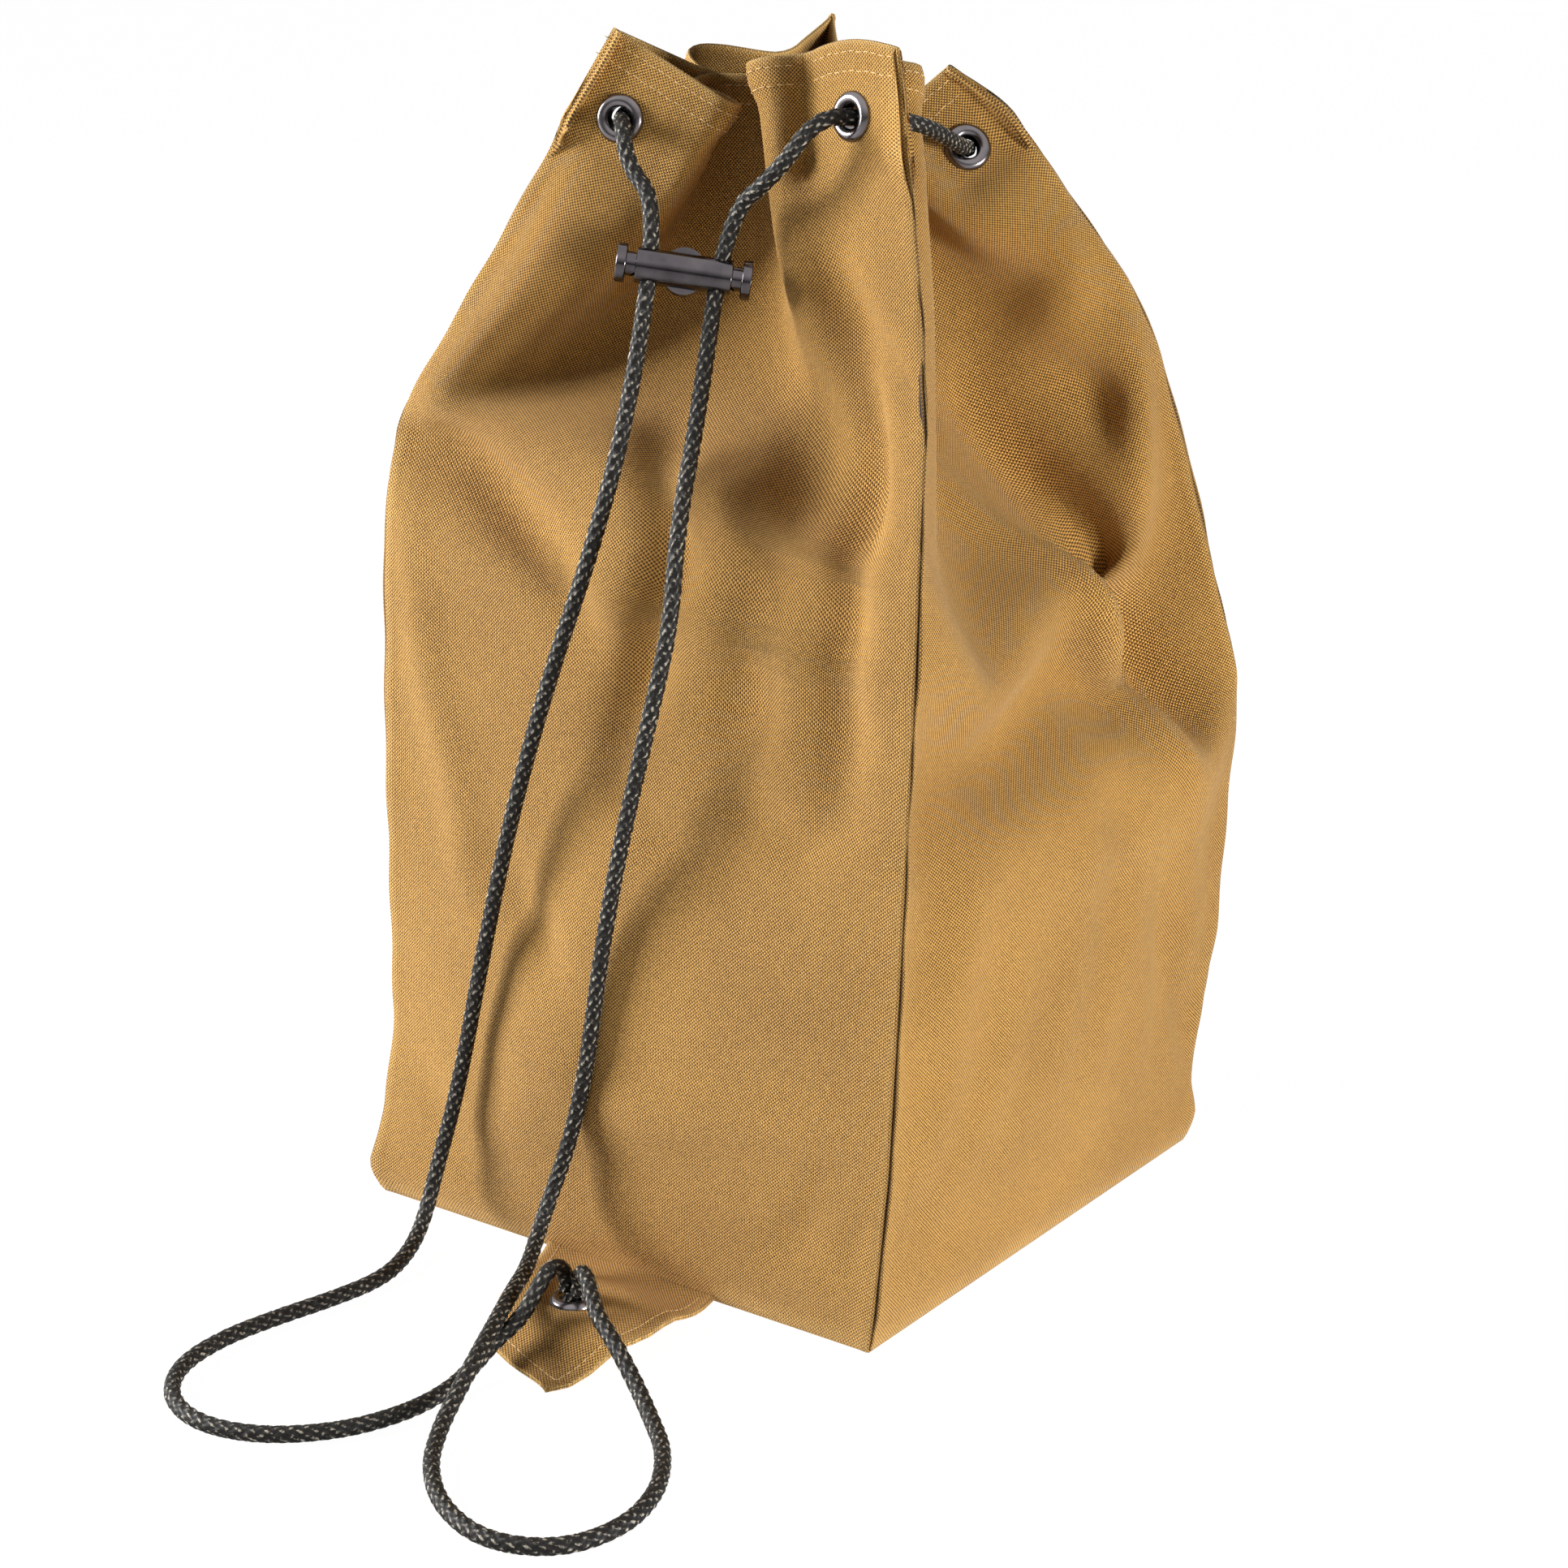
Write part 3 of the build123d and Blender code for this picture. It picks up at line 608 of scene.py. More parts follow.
# %% [markdown]
# Handling has left softer folds that the simulation doesn't know: a dent down the middle of the
# front where the mouth is drawn in, a broad crease across the right panel, and puckers near the
# base corners. Each is a line on the flat cloth that pushes it in (or out, if negative).

# %% Folds from handling: panel, depth, width, and a line of (arc, below the rim)
fold_strength = 1.4        # every depth below is multiplied by this
handled_folds = [
    (0, -3.6, 45, [(100, 250), (78, 305), (58, 375)]),
    (0, 10.0, 34, [(138, 105), (142, 170), (136, 228)]),
    (0, 9.0, 14, [(8, 141), (25, 145), (42, 156), (66, 174), (78, 193)]),
    (0, 10.0, 15, [(94, 118), (105, 166), (97, 202), (89, 237)]),
    (0, -5.0, 15, [(126, 112), (144, 159), (146, 201), (147, 228)]),
    (0, 10.0, 11, [(154, 66), (165, 108), (165, 135), (166, 178), (169, 226)]),
    (0, 5.0, 8, [(98, 243), (113, 253), (133, 251), (138, 240)]),
    (0, 4.5, 8, [(137, 240), (156, 246), (172, 233)]),
    (0, 6.0, 8, [(152, 67), (174, 91), (188, 108)]),
    (0, -4.0, 9, [(6, 150), (16, 210), (30, 249), (36, 284)]),
    (0, 4.0, 8, [(47, 267), (66, 288), (77, 304)]),
    (0, 3.5, 7, [(176, 345), (163, 370), (150, 385)]),
    (0, 3.0, 6, [(186, 355), (180, 375), (174, 386)]),
    (0, 2.5, 7, [(14, 345), (28, 366), (50, 382)]),
    (0, -2.0, 14, [(60, 330), (110, 340), (150, 330)]),
    (1, 15.0, 18, [(122, 100), (136, 140), (150, 185), (168, 232)]),
    (1, -8.0, 13, [(84, 108), (111, 155), (137, 212), (155, 254)]),
    (1, 7.0, 15, [(150, 96), (162, 112), (158, 130)]),
    (1, -4.0, 8, [(133, 102), (144, 135), (155, 161), (176, 120), (188, 94)]),
    (1, -3.0, 20, [(75, 266), (122, 264), (158, 268)]),
    (1, 3.0, 8, [(8, 345), (22, 366), (38, 380)]),
    (1, 4.0, 16, [(150, 300), (168, 330), (180, 352)]),
    (2, 7.0, 18, [(95, 90), (100, 150), (92, 220)]),
    (2, -4.0, 14, [(50, 120), (62, 190), (60, 250)]),
    (2, 4.0, 12, [(40, 200), (60, 260), (70, 300)]),
    (2, 4.0, 12, [(150, 130), (135, 190), (140, 240)]),
    (3, 8.0, 18, [(95, 90), (88, 150), (98, 215)]),
    (3, 5.0, 12, [(184, 145), (150, 165), (130, 210)]),
    (3, 4.0, 14, [(30, 160), (50, 220), (45, 290)]),
]


def distance_to_line(arc, below, line):
    """How far points of the flat cloth are from a line, and how far along it they are, 0 to 1."""
    near = np.full(arc.shape, 1e9)
    share = np.zeros(arc.shape)
    for k, (p, q) in enumerate(zip(line, line[1:])):
        p, q = np.array(p, float), np.array(q, float)
        span = q - p
        t = np.clip(((arc - p[0]) * span[0] + (below - p[1]) * span[1]) / span.dot(span), 0, 1)
        far = np.hypot(arc - p[0] - t * span[0], below - p[1] - t * span[1])
        share = np.where(far < near, (k + t) / (len(line) - 1), share)
        near = np.minimum(near, far)
    return near, share


def softened(field, passes=8):
    """The field blurred a little over its neighbours, without sharp steps."""
    for turn in range(passes):
        wide = np.pad(field, 1, mode="edge")
        beside = wide[1:-1, :-2] + wide[1:-1, 2:]
        field = field / 2 + (wide[:-2, 1:-1] + wide[2:, 1:-1] + beside) / 8
    return field


def handled(number, arc, below):
    """How far the handled folds push the cloth in at these points."""
    total = np.zeros(np.shape(arc))
    for panel, depth, width, line in handled_folds:
        if panel == number:
            near, share = distance_to_line(np.asarray(arc, float), np.asarray(below, float), line)
            fade = 0.35 + 0.65 * np.sin(math.pi * np.clip(share, 0.02, 0.98)) ** 0.7
            total += fold_strength * depth * fade / (1 + (near / (0.6 * width)) ** 2) ** 2
    edge = np.minimum(arc, panel_width - np.asarray(arc))
    below = np.asarray(below)
    ends = np.clip((below - 40) / 20, 0, 1) * np.clip((390 - below) / 20, 0, 1)
    return total * np.clip(edge / 6, 0, 1) * ends


# %% Build one closed panel
ply = 0.7
hem_stack = 1.85
hem_depth = 40.0
hole_radius = 4.05
panel_names = ("front", "right", "back", "left")


def panel_holes(number):
    """Arc and depth of a panel's two grommet holes on the flat cloth."""
    first = corner_folds[corner_order[number]]
    last = corner_folds[corner_order[(number + 1) % 4]]
    lift = flank_lift if number == 0 else 0
    return [(first["fold"] + first["eyelet"], first["drop"]),
            (panel_width + last["fold"] - last["eyelet"], last["drop"] + lift)]


def closed_sheet(name, outer, inner, holes, flat, wear_and_seam_shade):
    """A mesh between two grids of the same shape, with blocks of cells left open as holes."""
    height, width = outer.shape[:2]
    count = height * width
    open_cells = set()
    walls = []
    for r, c in holes:
        open_cells |= {(r - 1, c - 1), (r - 1, c), (r, c - 1), (r, c)}
        ring = [(r - 1, c - 1), (r - 1, c), (r - 1, c + 1), (r, c + 1), (r + 1, c + 1),
                (r + 1, c), (r + 1, c - 1), (r, c - 1)]
        walls += [(ring[k], ring[(k + 1) % 8]) for k in range(8)]
    number = lambda rc: rc[0] * width + rc[1]
    faces = []
    for r in range(height - 1):
        for c in range(width - 1):
            if (r, c) in open_cells:
                continue
            quad = [number(rc) for rc in ((r, c), (r, c + 1), (r + 1, c + 1), (r + 1, c))]
            faces.append(quad[::-1])
            faces.append([q + count for q in quad])
    for p, q in walls:
        faces.append((number(p), number(q), number(q) + count, number(p) + count)[::-1])
    border = [(0, c) for c in range(width)] + [(r, width - 1) for r in range(1, height)]
    border += [(height - 1, c) for c in range(width - 2, -1, -1)]
    border += [(r, 0) for r in range(height - 2, 0, -1)]
    for k, p in enumerate(border):
        q = border[(k + 1) % len(border)]
        faces.append((number(p), number(q), number(q) + count, number(p) + count))
    places = np.vstack([outer.reshape(-1, 3), inner.reshape(-1, 3)]) / 1000
    thing = new_piece(name, places.tolist(), faces)
    mesh = thing.data
    layer = mesh.uv_layers.new(name="flat_cloth")
    corner_vertex = np.zeros(len(mesh.loops), np.int32)
    mesh.loops.foreach_get("vertex_index", corner_vertex)
    both = np.vstack([flat.reshape(-1, 2), flat.reshape(-1, 2)]) / 1000
    layer.data.foreach_set("uv", both[corner_vertex].astype(np.float32).ravel())
    # this attribute holds pale wear where positive and painted shade along the seam grooves where
    # negative
    wear = mesh.attributes.new("wear_and_seam_shade", "FLOAT", "POINT")
    wear.data.foreach_set("value", np.r_[wear_and_seam_shade.ravel(), wear_and_seam_shade.ravel()].astype(np.float32))
    mesh.validate()
    face_outward(thing)
    print(name, len(mesh.vertices), "points")
    return thing


# %% Make the four side panels
arc_lines = np.r_[0, 0.6, 1.8, np.linspace(4.6, panel_width - 4.6, 59),
                  panel_width - 1.8, panel_width - 0.6, panel_width]
depth_lines = np.r_[0, 0.5, 1.4, np.linspace(3.2, 41.6, 13), np.linspace(44.8, 396, 110),
                    398.5, 399.5, cloth_height]
# the free strands lie on the front panel, which gives way under them
strand_room = cord_diameter * 500 + 0.3
strand_line = np.vstack([cord_lengths[name][1][::3] for name in (
    "drawcord_left_strand_braid", "drawcord_right_strand_braid")]) * 1000
strand_line = strand_line[(strand_line[:, 1] > -112) & (strand_line[:, 2] < 345)]
panels = {}
for number, side in enumerate(panel_names):
    arc, below = np.meshgrid(arc_lines, depth_lines)
    centres = []
    for hole_arc, hole_depth in panel_holes(number):
        c = int(np.argmin(abs(arc_lines - hole_arc)))
        r = int(np.argmin(abs(depth_lines - hole_depth)))
        centres.append((r, c))
        for k, (dr, dc) in enumerate(((-1, -1), (-1, 0), (-1, 1), (0, 1), (1, 1), (1, 0),
                                      (1, -1), (0, -1))):
            turn = math.radians(225 + 45 * k)
            arc[r + dr, c + dc] = hole_arc + hole_radius * math.cos(turn)
            below[r + dr, c + dc] = hole_depth + hole_radius * math.sin(turn)
    outward = cloth_outward(number, arc, below)
    unpressed = cloth_at(number, arc, below)
    press = softened(handled(number, arc, below))
    for turn in range(3 if number == 0 else 0):
        middle = unpressed - outward * press[..., None]
        gap = np.linalg.norm(middle[:, :, None] - strand_line[None, None], axis=-1).min(-1)
        press = press + softened(np.clip(strand_room + 0.2 - gap, 0, 6), 4)
    middle = unpressed - outward * press[..., None]
    across = np.gradient(middle, axis=1)
    outward = np.cross(across, -np.gradient(middle, axis=0))
    outward /= np.linalg.norm(outward, axis=-1)[..., None]
    outward[:, [0, 1, -2, -1]] = cloth_outward(number, arc, below)[:, [0, 1, -2, -1]]
    from_seam = np.minimum(arc, panel_width - arc)
    tuck = np.interp(from_seam, [0, 0.6, 1.8], [2.2, 0.45, 0.0])
    tuck += 0.3 * np.exp(-(from_seam / 6) ** 2) * np.sin(below / 5.3 + 2 * number)
    roll = np.interp(below, [0, 0.5, 1.4], [0.55, 0.15, 0.0])
    under = np.interp(below, [396, 398.5, 399.5, 400], [0, 0.3, 0.9, 1.6])
    wall = np.interp(below, [0, 0.5, 1.4, hem_depth, hem_depth + 3],
                     [0.75, 1.4, hem_stack, hem_stack, ply])
    outer = middle - outward * (tuck + roll + under)[..., None]
    inner = middle - outward * (wall + np.maximum(tuck, 0) + under)[..., None]
    outer[..., 2] = np.maximum(outer[..., 2], 0.05)
    inner[..., 2] = np.maximum(inner[..., 2], 0.1)
    wear_and_seam_shade = np.exp(-(below / 1.2) ** 2) + 0.25 * np.exp(-((from_seam - 2.2) / 1.2) ** 2)
    wear_and_seam_shade += 0.6 * np.exp(-((cloth_height - below) / 5) ** 2)
    # painted shade: along each corner seam the value is pushed below zero, which darkens the colour
    # in the seam's groove
    groove = np.interp(from_seam, [0, 0.6, 1.8], [1.3, 0.7, 0.0])
    wear_and_seam_shade = wear_and_seam_shade - groove * np.clip((below - 30) / 30, 0, 1)
    flat = np.stack([arc + number * 200, below], -1)
    panels[side] = closed_sheet(side + "_panel_cloth", outer, inner, centres, flat, wear_and_seam_shade)

# %% [markdown]
# ### Woven nylon
# Heavy nylon in plain weave, coated on the inside. Each crossing shows as a small bump, lighter
# where the warp is on top and darker where the weft is. The yarns are 0.58 mm apart, so the
# pattern repeats every 1.15 mm. Fine streaks follow the yarns, soft patches vary the dye, worn
# edges are paler, and painted shade darkens the groove of each corner seam. Nylon yarn has a low
# sheen, so the surface is rough but not chalky.

# %% Cloth material
yarn = 0.000575


def woven(name, dark, light, worn_hex, pitch=yarn):
    """Plain-weave cloth that reads its pattern from where each point is on the flat cloth."""
    material, tree, shader = new_material(name)
    where = add(tree, "ShaderNodeUVMap", uv_map="flat_cloth")
    turns = add(tree, "ShaderNodeVectorMath", {0: where.outputs[0], 1: (math.pi / pitch,) * 3},
                operation="MULTIPLY")
    wave = add(tree, "ShaderNodeVectorMath", {0: turns.outputs[0]}, operation="SINE")
    parts = add(tree, "ShaderNodeSeparateXYZ", {0: wave.outputs[0]})
    crossing = add(tree, "ShaderNodeMath", {0: parts.outputs[0], 1: parts.outputs[1]},
                   operation="MULTIPLY")
    mound = add(tree, "ShaderNodeMath", {0: crossing.outputs[0]}, operation="ABSOLUTE")
    warp = add(tree, "ShaderNodeMath", {0: crossing.outputs[0], 1: 1.0, 2: 0.5},
               operation="MULTIPLY_ADD")
    streaks = []
    for stretch in ((1700.0, 200.0, 1.0), (200.0, 1700.0, 1.0)):
        drawn_out = add(tree, "ShaderNodeMapping", {"Vector": where.outputs[0], "Scale": stretch})
        streaks.append(add(tree, "ShaderNodeTexNoise", {"Vector": drawn_out.outputs[0],
                                                        "Scale": 1.0, "Detail": 1.0}))
    both = add(tree, "ShaderNodeMath", {0: streaks[0].outputs["Fac"], 1: streaks[1].outputs["Fac"]},
               operation="ADD")
    place = add(tree, "ShaderNodeTexCoord")
    patches = add(tree, "ShaderNodeTexNoise", {"Vector": place.outputs["Object"], "Scale": 16.0,
                                               "Detail": 3.0, "Roughness": 0.55})
    uneven = add(tree, "ShaderNodeMath", {0: both.outputs[0], 1: 0.3, 2: -0.3},
                 operation="MULTIPLY_ADD")
    uneven = add(tree, "ShaderNodeMath", {0: uneven.outputs[0], 1: warp.outputs[0]},
                 operation="ADD")
    patch = add(tree, "ShaderNodeMath", {0: patches.outputs["Fac"], 1: 0.55, 2: -0.275},
                operation="MULTIPLY_ADD")
    grain = add(tree, "ShaderNodeTexNoise", {"Vector": place.outputs["Object"], "Scale": 1300.0,
                                             "Detail": 1.0, "Roughness": 0.6})
    grain = add(tree, "ShaderNodeMath", {0: grain.outputs["Fac"], 1: 0.6, 2: -0.3},
                operation="MULTIPLY_ADD")
    patch = add(tree, "ShaderNodeMath", {0: patch.outputs[0], 1: grain.outputs[0]},
                operation="ADD")
    amount = add(tree, "ShaderNodeMath", {0: uneven.outputs[0], 1: patch.outputs[0]},
                 operation="ADD")
    colour = add(tree, "ShaderNodeMix", {"Factor": amount.outputs[0]}, data_type="RGBA")
    colour.inputs[6].default_value = linear(dark)
    colour.inputs[7].default_value = linear(light)
    wear_and_seam_shade = add(tree, "ShaderNodeAttribute", attribute_name="wear_and_seam_shade")
    worn_share = add(tree, "ShaderNodeMath", {0: wear_and_seam_shade.outputs["Fac"], 1: patches.outputs["Fac"]},
                     operation="MULTIPLY", use_clamp=True)
    paler = add(tree, "ShaderNodeMix", {"Factor": worn_share.outputs[0]}, data_type="RGBA")
    tree.links.new(colour.outputs[2], paler.inputs[6])
    paler.inputs[7].default_value = linear(worn_hex)
    # painted shade: a negative value, along the corner seams' grooves, mixes the colour towards
    # dark brown
    sunk = add(tree, "ShaderNodeMath", {0: wear_and_seam_shade.outputs["Fac"], 1: -0.85}, operation="MULTIPLY",
               use_clamp=True)
    shaded = add(tree, "ShaderNodeMix", {"Factor": sunk.outputs[0]}, data_type="RGBA")
    tree.links.new(paler.outputs[2], shaded.inputs[6])
    shaded.inputs[7].default_value = linear("#3A250C")
    tree.links.new(shaded.outputs[2], shader.inputs["Base Color"])
    rough = add(tree, "ShaderNodeMapRange", {"Value": mound.outputs[0], "To Min": 0.78,
                                             "To Max": 0.58})
    tree.links.new(rough.outputs[0], shader.inputs["Roughness"])
    crease = add(tree, "ShaderNodeTexNoise", {"Vector": place.outputs["Object"], "Scale": 60.0,
                                              "Detail": 2.0})
    soft = add(tree, "ShaderNodeBump", {"Strength": 0.25, "Distance": 0.0012,
                                        "Height": crease.outputs["Fac"]})
    fine = add(tree, "ShaderNodeBump", {"Strength": 1.0, "Distance": 0.0003,
                                        "Height": mound.outputs[0], "Normal": soft.outputs[0]})
    tree.links.new(fine.outputs[0], shader.inputs["Normal"])
    shader.inputs["Specular IOR Level"].default_value = 0.3
    shader.inputs["Sheen Weight"].default_value = 0.1
    shader.inputs["Sheen Roughness"].default_value = 0.45
    return material


nylon = woven("woven_coated_nylon", "#5A370C", "#F0B85E", "#F2C880")
for side, panel in panels.items():
    panel.data.materials.append(nylon)
    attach(panel, "bag")
    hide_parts(side + "_panel")

# %% [markdown]
# ## Hem stitching
# Two rows of golden thread run round the rim. One stitch is modelled and repeated along the rows
# on the cloth, each turned to the cloth's own direction and a little uneven.

# %% One stitch, and a row of them
bpy.ops.object.select_all(action="DESELECT")
bpy.ops.mesh.primitive_cylinder_add(vertices=6, radius=0.17, depth=2.1,
                                    rotation=(0, math.pi / 2, 0))
pattern_stitch = bpy.context.object
bpy.ops.object.transform_apply(location=True, rotation=True, scale=True)
bpy.ops.object.mode_set(mode="EDIT")
bpy.ops.mesh.select_all(action="SELECT")
bpy.ops.mesh.bevel(offset=0.07, segments=1)
bpy.ops.object.mode_set(mode="OBJECT")
stitch_points = np.array([v.co for v in pattern_stitch.data.vertices])
stitch_faces = [tuple(p.vertices) for p in pattern_stitch.data.polygons]
bpy.data.objects.remove(pattern_stitch)


def stitch_rows(name, rows_of_places):
    """One mesh of stitches; each place is (centre, along, outward) in millimetres."""
    places = []
    faces = []
    for centre, along, outward in rows_of_places:
        along = unit(along)
        outward = unit(outward - along * np.dot(outward, along))
        side = np.cross(outward, along)
        first = len(places)
        for p in stitch_points:
            sunk = p[2] * 0.9 - 0.04 * p[0] ** 2
            places.append(tuple((centre + along * p[0] + side * p[1] + outward * sunk) / 1000))
        faces += [tuple(first + k for k in face) for face in stitch_faces]
    thing = new_piece(name, places, faces)
    print(name, len(rows_of_places), "stitches")
    return thing


# %% Thread material
thread, tree, shader = new_material("polyester_sewing_thread")
place = add(tree, "ShaderNodeTexCoord")
twist = add(tree, "ShaderNodeTexWave", {"Vector": place.outputs["Object"], "Scale": 900.0,
                                        "Distortion": 2.0}, bands_direction="DIAGONAL")
tint = add(tree, "ShaderNodeValToRGB", {"Fac": twist.outputs["Fac"]})
tint.color_ramp.elements[0].color = linear("#D0A05C")
tint.color_ramp.elements[1].color = linear("#F6DCA8")
bump = add(tree, "ShaderNodeBump", {"Strength": 0.4, "Distance": 0.0001,
                                    "Height": twist.outputs["Fac"]})
tree.links.new(tint.outputs[0], shader.inputs["Base Color"])
tree.links.new(bump.outputs[0], shader.inputs["Normal"])
shader.inputs["Roughness"].default_value = 0.45

# %% Stitch the hem of each panel
for number, side in enumerate(panel_names):
    rows_of_places = []
    for depth in (3.5, 9.0):
        for k, arc in enumerate(np.arange(2.6, panel_width - 2, 3.0)):
            arc = np.array(arc)
            below = np.array(depth + 0.15 * math.sin(k * 2.3 + number))
            along = cloth_at(number, arc + 0.8, below) - cloth_at(number, arc - 0.8, below)
            outward = cloth_outward(number, arc, below)
            rows_of_places.append((cloth_at(number, arc, below) + outward * 0.05, along, outward))
    rim = stitch_rows(side + "_hem_stitches", rows_of_places)
    rim.data.materials.append(thread)
    rim.parent = panels[side]

# %% [markdown]
# ## Base and seam bindings
# The base is a square of the same cloth. It lies on the floor and dips and lifts a little, so it
# is a fine grid with a soft swell. Inside, the raw edges of the corner seams and of the base seam
# are covered by folded tape, which follows the seams.

# %% A folded tape along a seam
def swept_tape(name, spine, inward, wide, thick):
    """A closed folded tape: a rounded section that stands in from a seam's line."""
    section = [(-0.5, 0), (-0.5, 0.8), (-0.3, 1), (0.3, 1), (0.5, 0.8), (0.5, 0)]
    places = []
    for i, point in enumerate(spine):
        along = spine[min(i + 1, len(spine) - 1)] - spine[max(i - 1, 0)]
        side = unit(np.cross(along, inward[i]))
        for x, y in section:
            ripple = 0.12 * math.sin(i * 0.9)
            place = point + side * (x * thick + ripple) + inward[i] * y * wide
            places.append(tuple(place / 1000))
    count = len(section)
    faces = []
    for i in range(len(spine) - 1):
        for k in range(count):
            n = (k + 1) % count
            faces.append((i * count + k, i * count + n, (i + 1) * count + n, (i + 1) * count + k))
    faces.append(tuple(range(count)))
    faces.append(tuple((len(spine) - 1) * count + k for k in reversed(range(count))))
    thing = new_piece(name, places, faces)
    face_outward(thing)
    return thing


# %% The base cloth
low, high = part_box("base_panel")
across = np.linspace(low[0], high[0], 61) * 1000
back = np.linspace(low[1], high[1], 61) * 1000
x, y = np.meshgrid(across, back)
swell = 0.25 * (1 + np.sin(x / 23) * np.cos(y / 31)) * np.cos(x / 62.1) * np.cos(y / 61)
upper = np.stack([x, y, 0.75 + swell], -1)
lower = np.stack([x, y, 0.05 + swell], -1)
edge = np.exp(-((np.minimum(97 - abs(x), 95 - abs(y))) / 5) ** 2)
base = closed_sheet("base_panel_cloth", upper[:, ::-1], lower[:, ::-1], [],
                    np.stack([x, y], -1)[:, ::-1], edge)
base.data.materials.append(nylon)
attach(base, "bag")
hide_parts("base_panel")

# %% The tapes inside the seams
tape = woven("woven_binding_tape", "#6E4C22", "#B58648", "#C79C5E", pitch=0.0009)
tapes = []
for number, corner in enumerate(corner_order):
    depths = np.linspace(cloth_height - 9, 135, 80)
    spine = [cloth_at(number, np.array(0.0), np.array(d)) for d in depths]
    outward = [cloth_outward(number, np.array(0.0), np.array(d)) for d in depths]
    inward = [unit(-n * np.array((1, 1, 0.3))) for n in outward]
    spine = [p + v * 2.2 for p, v in zip(spine, inward)]
    tapes.append((swept_tape(corner + "_binding_tape", spine, inward, 8.6, 1.4),
                  corner + "_seam_binding"))
ring = []
for x, y in ((-1, -1), (1, -1), (1, 1), (-1, 1), (-1, -1)):
    ring.append(np.array((x * 95.9, y * 93.9, 1.1)))
spine = []
for a, b in zip(ring, ring[1:]):
    spine += [a + (b - a) * t for t in np.linspace(0.01, 0.99, 40)]
upright = [np.array((0, 0, 1.0))] * len(spine)
tapes.append((swept_tape("base_binding_tape", spine, upright, 6.0, 1.3), "base_seam_binding"))
for thing, node in tapes:
    layer = thing.data.uv_layers.new(name="flat_cloth")
    for loop in thing.data.loops:
        co = thing.data.vertices[loop.vertex_index].co
        layer.data[loop.index].uv = (co.x + co.y, co.z)
    thing.data.materials.append(tape)
    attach(thing, "bag")
    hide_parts(node)
print("tapes:", len(tapes))

# %% [markdown]
# ## The tab
# The tab is two plies of the bag's cloth, sewn together with a row of stitches round the edge, and
# it leaves the base seam at the front. Its grommet holds the cord's knot down, so the knot lifts
# the middle, and the tip bends down to the floor. It is a patch between its left and right edges,
# with a soft hump under the grommet.

# %% Shape the tab's plies
tab_left = [(-26, 0.0), (-18, -17), (-9, -38), (-1.5, -56), (2, -62), (6.5, -65.6), (20, -69.8),
            (33.4, -73.3)]
tab_right = [(40, 0.0), (43, -14), (45, -28), (46, -40), (45.2, -47), (42.5, -57), (38.8, -68),
             (36.0, -73.0)]
hole_at = np.array((17.0, -136.0))


def edge_curve(points, count):
    points = np.array(points, float)
    gone = np.r_[0, np.cumsum(np.linalg.norm(np.diff(points, axis=0), axis=1))]
    at = np.linspace(0, gone[-1], count)
    return np.column_stack([np.interp(at, gone, points[:, k]) for k in range(2)])


def tab_height(x, y):
    """Height of the tab's under side, from the base seam at y 0 to the tip."""
    rise = np.interp(-y, [0, 8, 14, 20, 26, 32, 50, 56, 62, 70, 80],
                     [1.7, 3.0, 4.7, 7.0, 8.9, 9.4, 9.4, 7.2, 4.2, 2.3, 1.2])
    from_hole = np.hypot(x - hole_at[0], y - (hole_at[1] + 95.55))
    droop = np.interp(from_hole, [12, 20, 32, 45], [0, 0.6, 2.6, 3.4])
    wave = 0.5 * np.sin(x / 7.0 + y / 16) * np.interp(from_hole, [12, 26], [0, 1])
    return np.maximum(rise - droop * np.interp(-y, [0, 20], [0.1, 1]) + wave, 0.35)


def tab_point(x, y, lift):
    return np.stack([x, y - 95.55, tab_height(x, y) + lift], -1)


rows_t, columns_t = 61, 49
left = edge_curve(tab_left, rows_t)
right = edge_curve(tab_right, rows_t)
share = np.linspace(0, 1, columns_t)
grid_x = left[:, :1] * (1 - share) + right[:, :1] * share
grid_y = left[:, 1:] * (1 - share) + right[:, 1:] * share
tip_fade = np.linspace(0, 1, rows_t)[:, None]
grid_y = grid_y - 2.0 * np.sin(math.pi * share) * tip_fade ** 4
edge_gap = np.minimum(np.minimum(share, 1 - share) * 55, (1 - tip_fade) * 70)
plies = {}
for name, lift, node in (("tab_under_ply_cloth", 0.0, "tab_under_ply"),
                         ("tab_top_ply_cloth", 0.76, "tab_top_ply")):
    pinch = np.interp(edge_gap, [0, 1.0, 4], [0.18, 0.05, 0.0]) * (1 if lift == 0 else -1)
    under = tab_point(grid_x, grid_y, lift) + pinch[..., None] * np.array((0, 0, 1))
    top = under + np.array((0, 0, 0.7))
    wear_and_seam_shade = np.exp(-(edge_gap / 1.5) ** 2)
    flat = np.stack([grid_x, grid_y], -1)
    ply_piece = closed_sheet(name, top, under, [], flat, wear_and_seam_shade)
    bpy.ops.object.select_all(action="DESELECT")
    bpy.ops.mesh.primitive_cylinder_add(vertices=32, radius=0.00405, depth=0.03,
                                        location=(hole_at[0] / 1000, hole_at[1] / 1000, 0.01))
    punch = bpy.context.object
    cut = ply_piece.modifiers.new("grommet_hole", "BOOLEAN")
    cut.operation = "DIFFERENCE"
    cut.solver = "EXACT"
    cut.object = punch
    bpy.context.view_layer.objects.active = ply_piece
    bpy.ops.object.modifier_apply(modifier=cut.name)
    bpy.data.objects.remove(punch)
    ply_piece.data.materials.clear()
    ply_piece.data.materials.append(nylon)
    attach(ply_piece, "bag")
    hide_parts(node)
    plies[name] = ply_piece
    print(name, len(ply_piece.data.polygons), "faces")

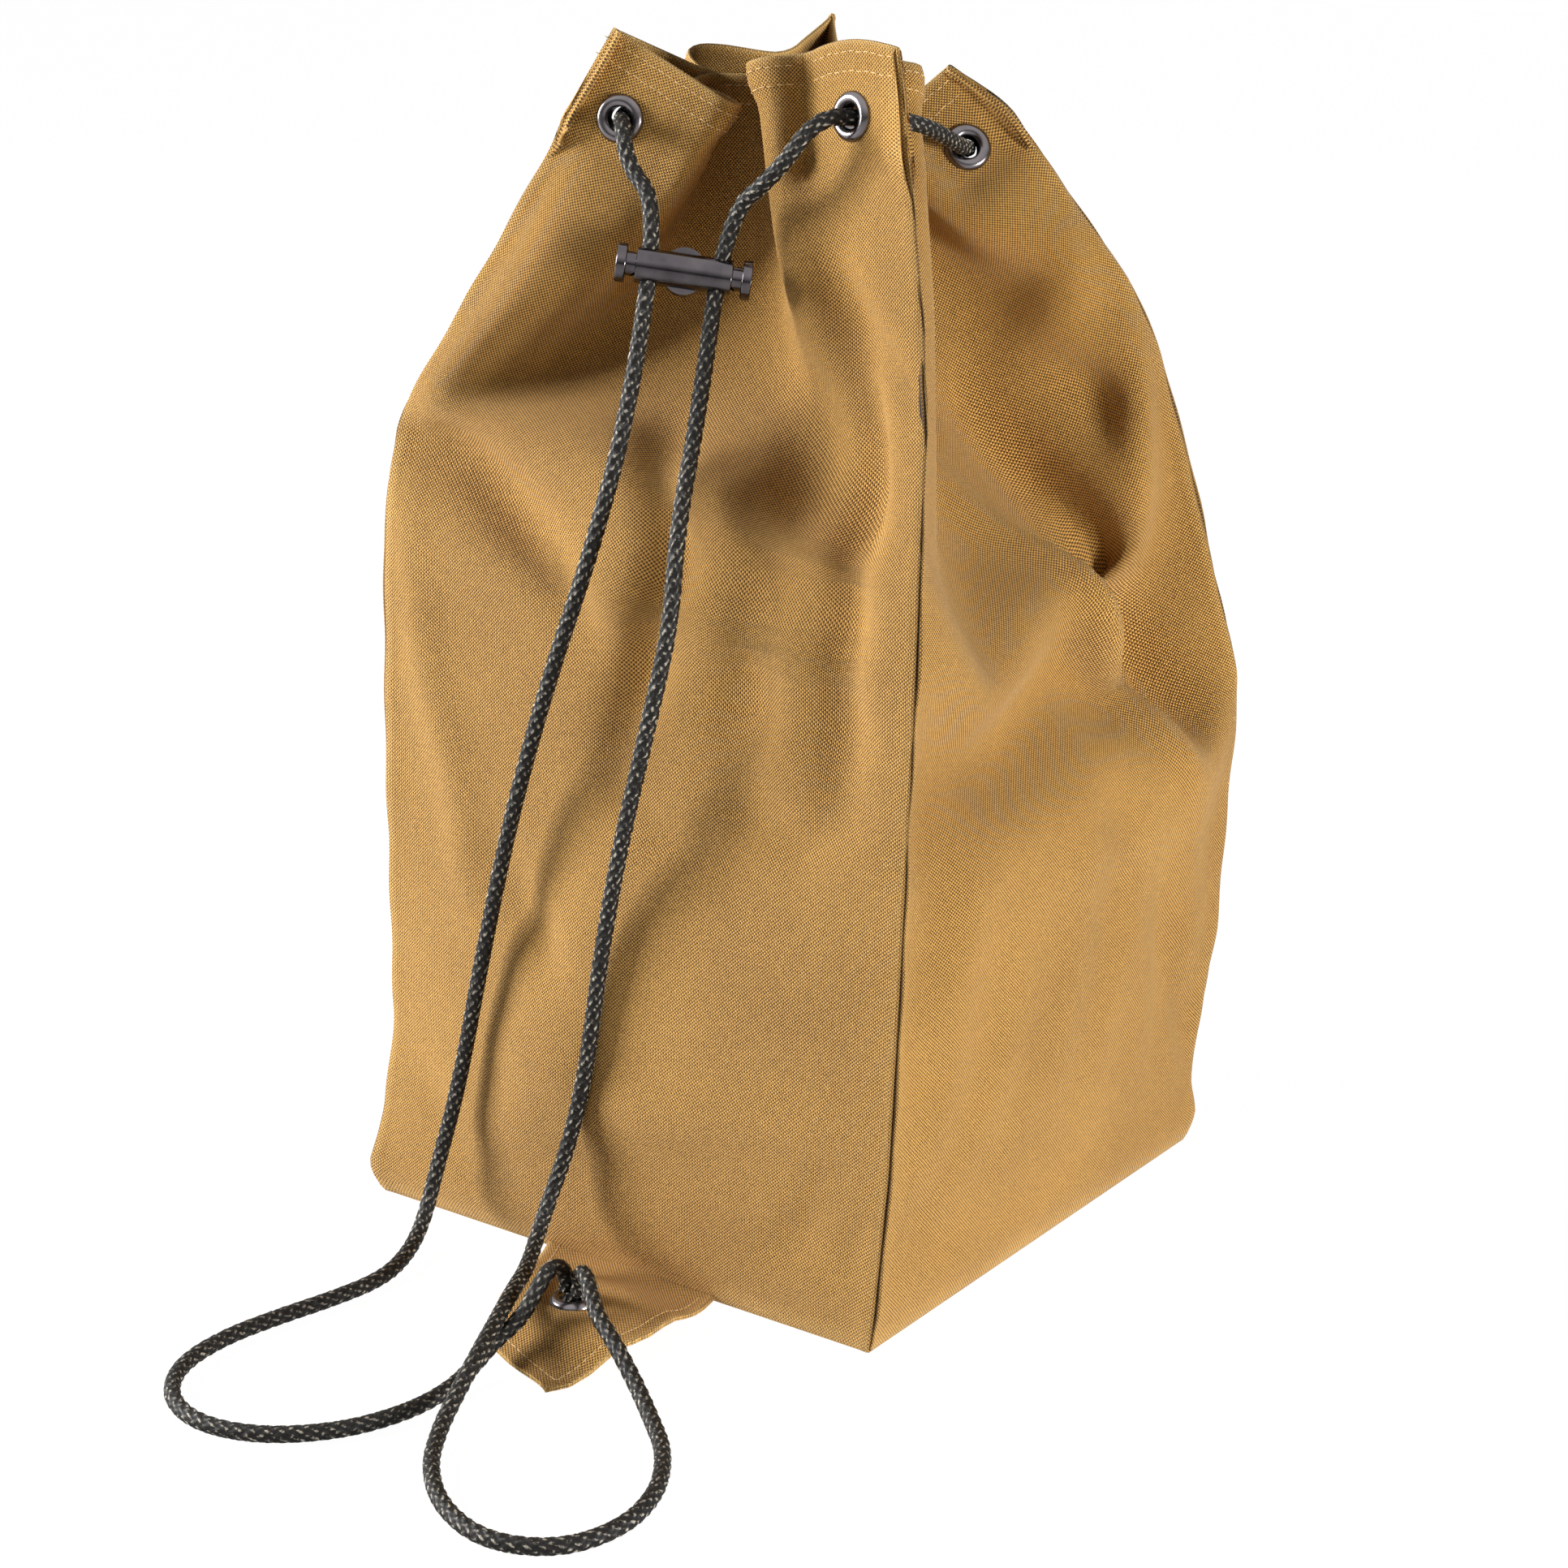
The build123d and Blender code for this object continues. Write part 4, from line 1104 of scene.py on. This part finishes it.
# %% Stitch the tab's edge
def inside_edge(inset):
    """A line on the tab's top, a little inside its left edge, tip and right edge."""
    centre = np.array((20.0, -36.0))
    outline = np.vstack([left[2:], right[::-1][1:-2]])
    gone = np.r_[0, np.cumsum(np.linalg.norm(np.diff(outline, axis=0), axis=1))]
    at = np.arange(0.5, gone[-1], 2.9)
    line = np.column_stack([np.interp(at, gone, outline[:, k]) for k in range(2)])
    along = np.gradient(line, axis=0)
    along /= np.linalg.norm(along, axis=1)[:, None]
    inward = np.column_stack([-along[:, 1], along[:, 0]])
    toward = np.sign(((centre - line) * inward).sum(1))
    return line + inward * toward[:, None] * inset, along


line, along = inside_edge(4.0)
rows_of_places = []
for (x, y), (dx, dy) in zip(line, along):
    here = tab_point(np.array(x), np.array(y), 1.5)
    ahead = tab_point(np.array(x + dx), np.array(y + dy), 1.5)
    beside = tab_point(np.array(x - dy), np.array(y + dx), 1.5)
    rows_of_places.append((here, ahead - here, np.cross(ahead - here, beside - here)))
tab_stitches = stitch_rows("tab_edge_stitches", rows_of_places)
tab_stitches.data.materials.append(thread)
tab_stitches.parent = plies["tab_top_ply_cloth"]

# %% [markdown]
# ## Metal
# The grommets and washers are brass plated black nickel: a dark warm grey that is nearly a mirror
# on the dome. The cord lock is die-cast zinc in the same plating, tumbled to a satin. The spring
# is bright steel. All three shapes come from the frame.

# %% Metal materials
def plated(name, dark, bright, roughness, grain):
    """Plated metal with faint clouding and fine polishing marks."""
    material, tree, shader = new_material(name)
    place = add(tree, "ShaderNodeTexCoord")
    cloud = add(tree, "ShaderNodeTexNoise", {"Vector": place.outputs["Object"], "Scale": 160.0,
                                             "Detail": 3.0})
    marks = add(tree, "ShaderNodeTexNoise", {"Vector": place.outputs["Object"], "Scale": 2600.0,
                                             "Detail": 2.0})
    tint = add(tree, "ShaderNodeMix", {"Factor": cloud.outputs["Fac"]}, data_type="RGBA")
    tint.inputs[6].default_value = linear(dark)
    tint.inputs[7].default_value = linear(bright)
    rough = add(tree, "ShaderNodeMapRange", {"Value": cloud.outputs["Fac"],
                                             "To Min": roughness - 0.08,
                                             "To Max": roughness + 0.1})
    bump = add(tree, "ShaderNodeBump", {"Strength": grain, "Distance": 0.00005,
                                        "Height": marks.outputs["Fac"]})
    tree.links.new(tint.outputs[2], shader.inputs["Base Color"])
    tree.links.new(rough.outputs[0], shader.inputs["Roughness"])
    tree.links.new(bump.outputs[0], shader.inputs["Normal"])
    shader.inputs["Metallic"].default_value = 1.0
    return material


nickel = plated("black_nickel_plated_brass", "#5A5557", "#8C8688", 0.22, 0.15)
washer_metal = plated("nickel_plated_brass_washer", "#8A8480", "#B4AEA8", 0.3, 0.2)
zinc = plated("satin_black_nickel_zinc", "#3A3739", "#6E686B", 0.15, 0.1)
steel = plated("bright_spring_steel", "#A9ABAE", "#D0D2D4", 0.2, 0.1)
for name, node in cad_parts.items():
    if name == "lock_spring":
        metal = steel
    elif name.startswith("lock_"):
        metal = zinc
    elif "washer" in name:
        metal = washer_metal
    elif "grommet" in name:
        metal = nickel
    else:
        continue
    node.data.materials.clear()
    node.data.materials.append(metal)
print("metal nodes dressed")

# %% [markdown]
# ## Finish
# The selection is cleared at the end.

# %% Finish
bpy.ops.object.select_all(action="DESELECT")
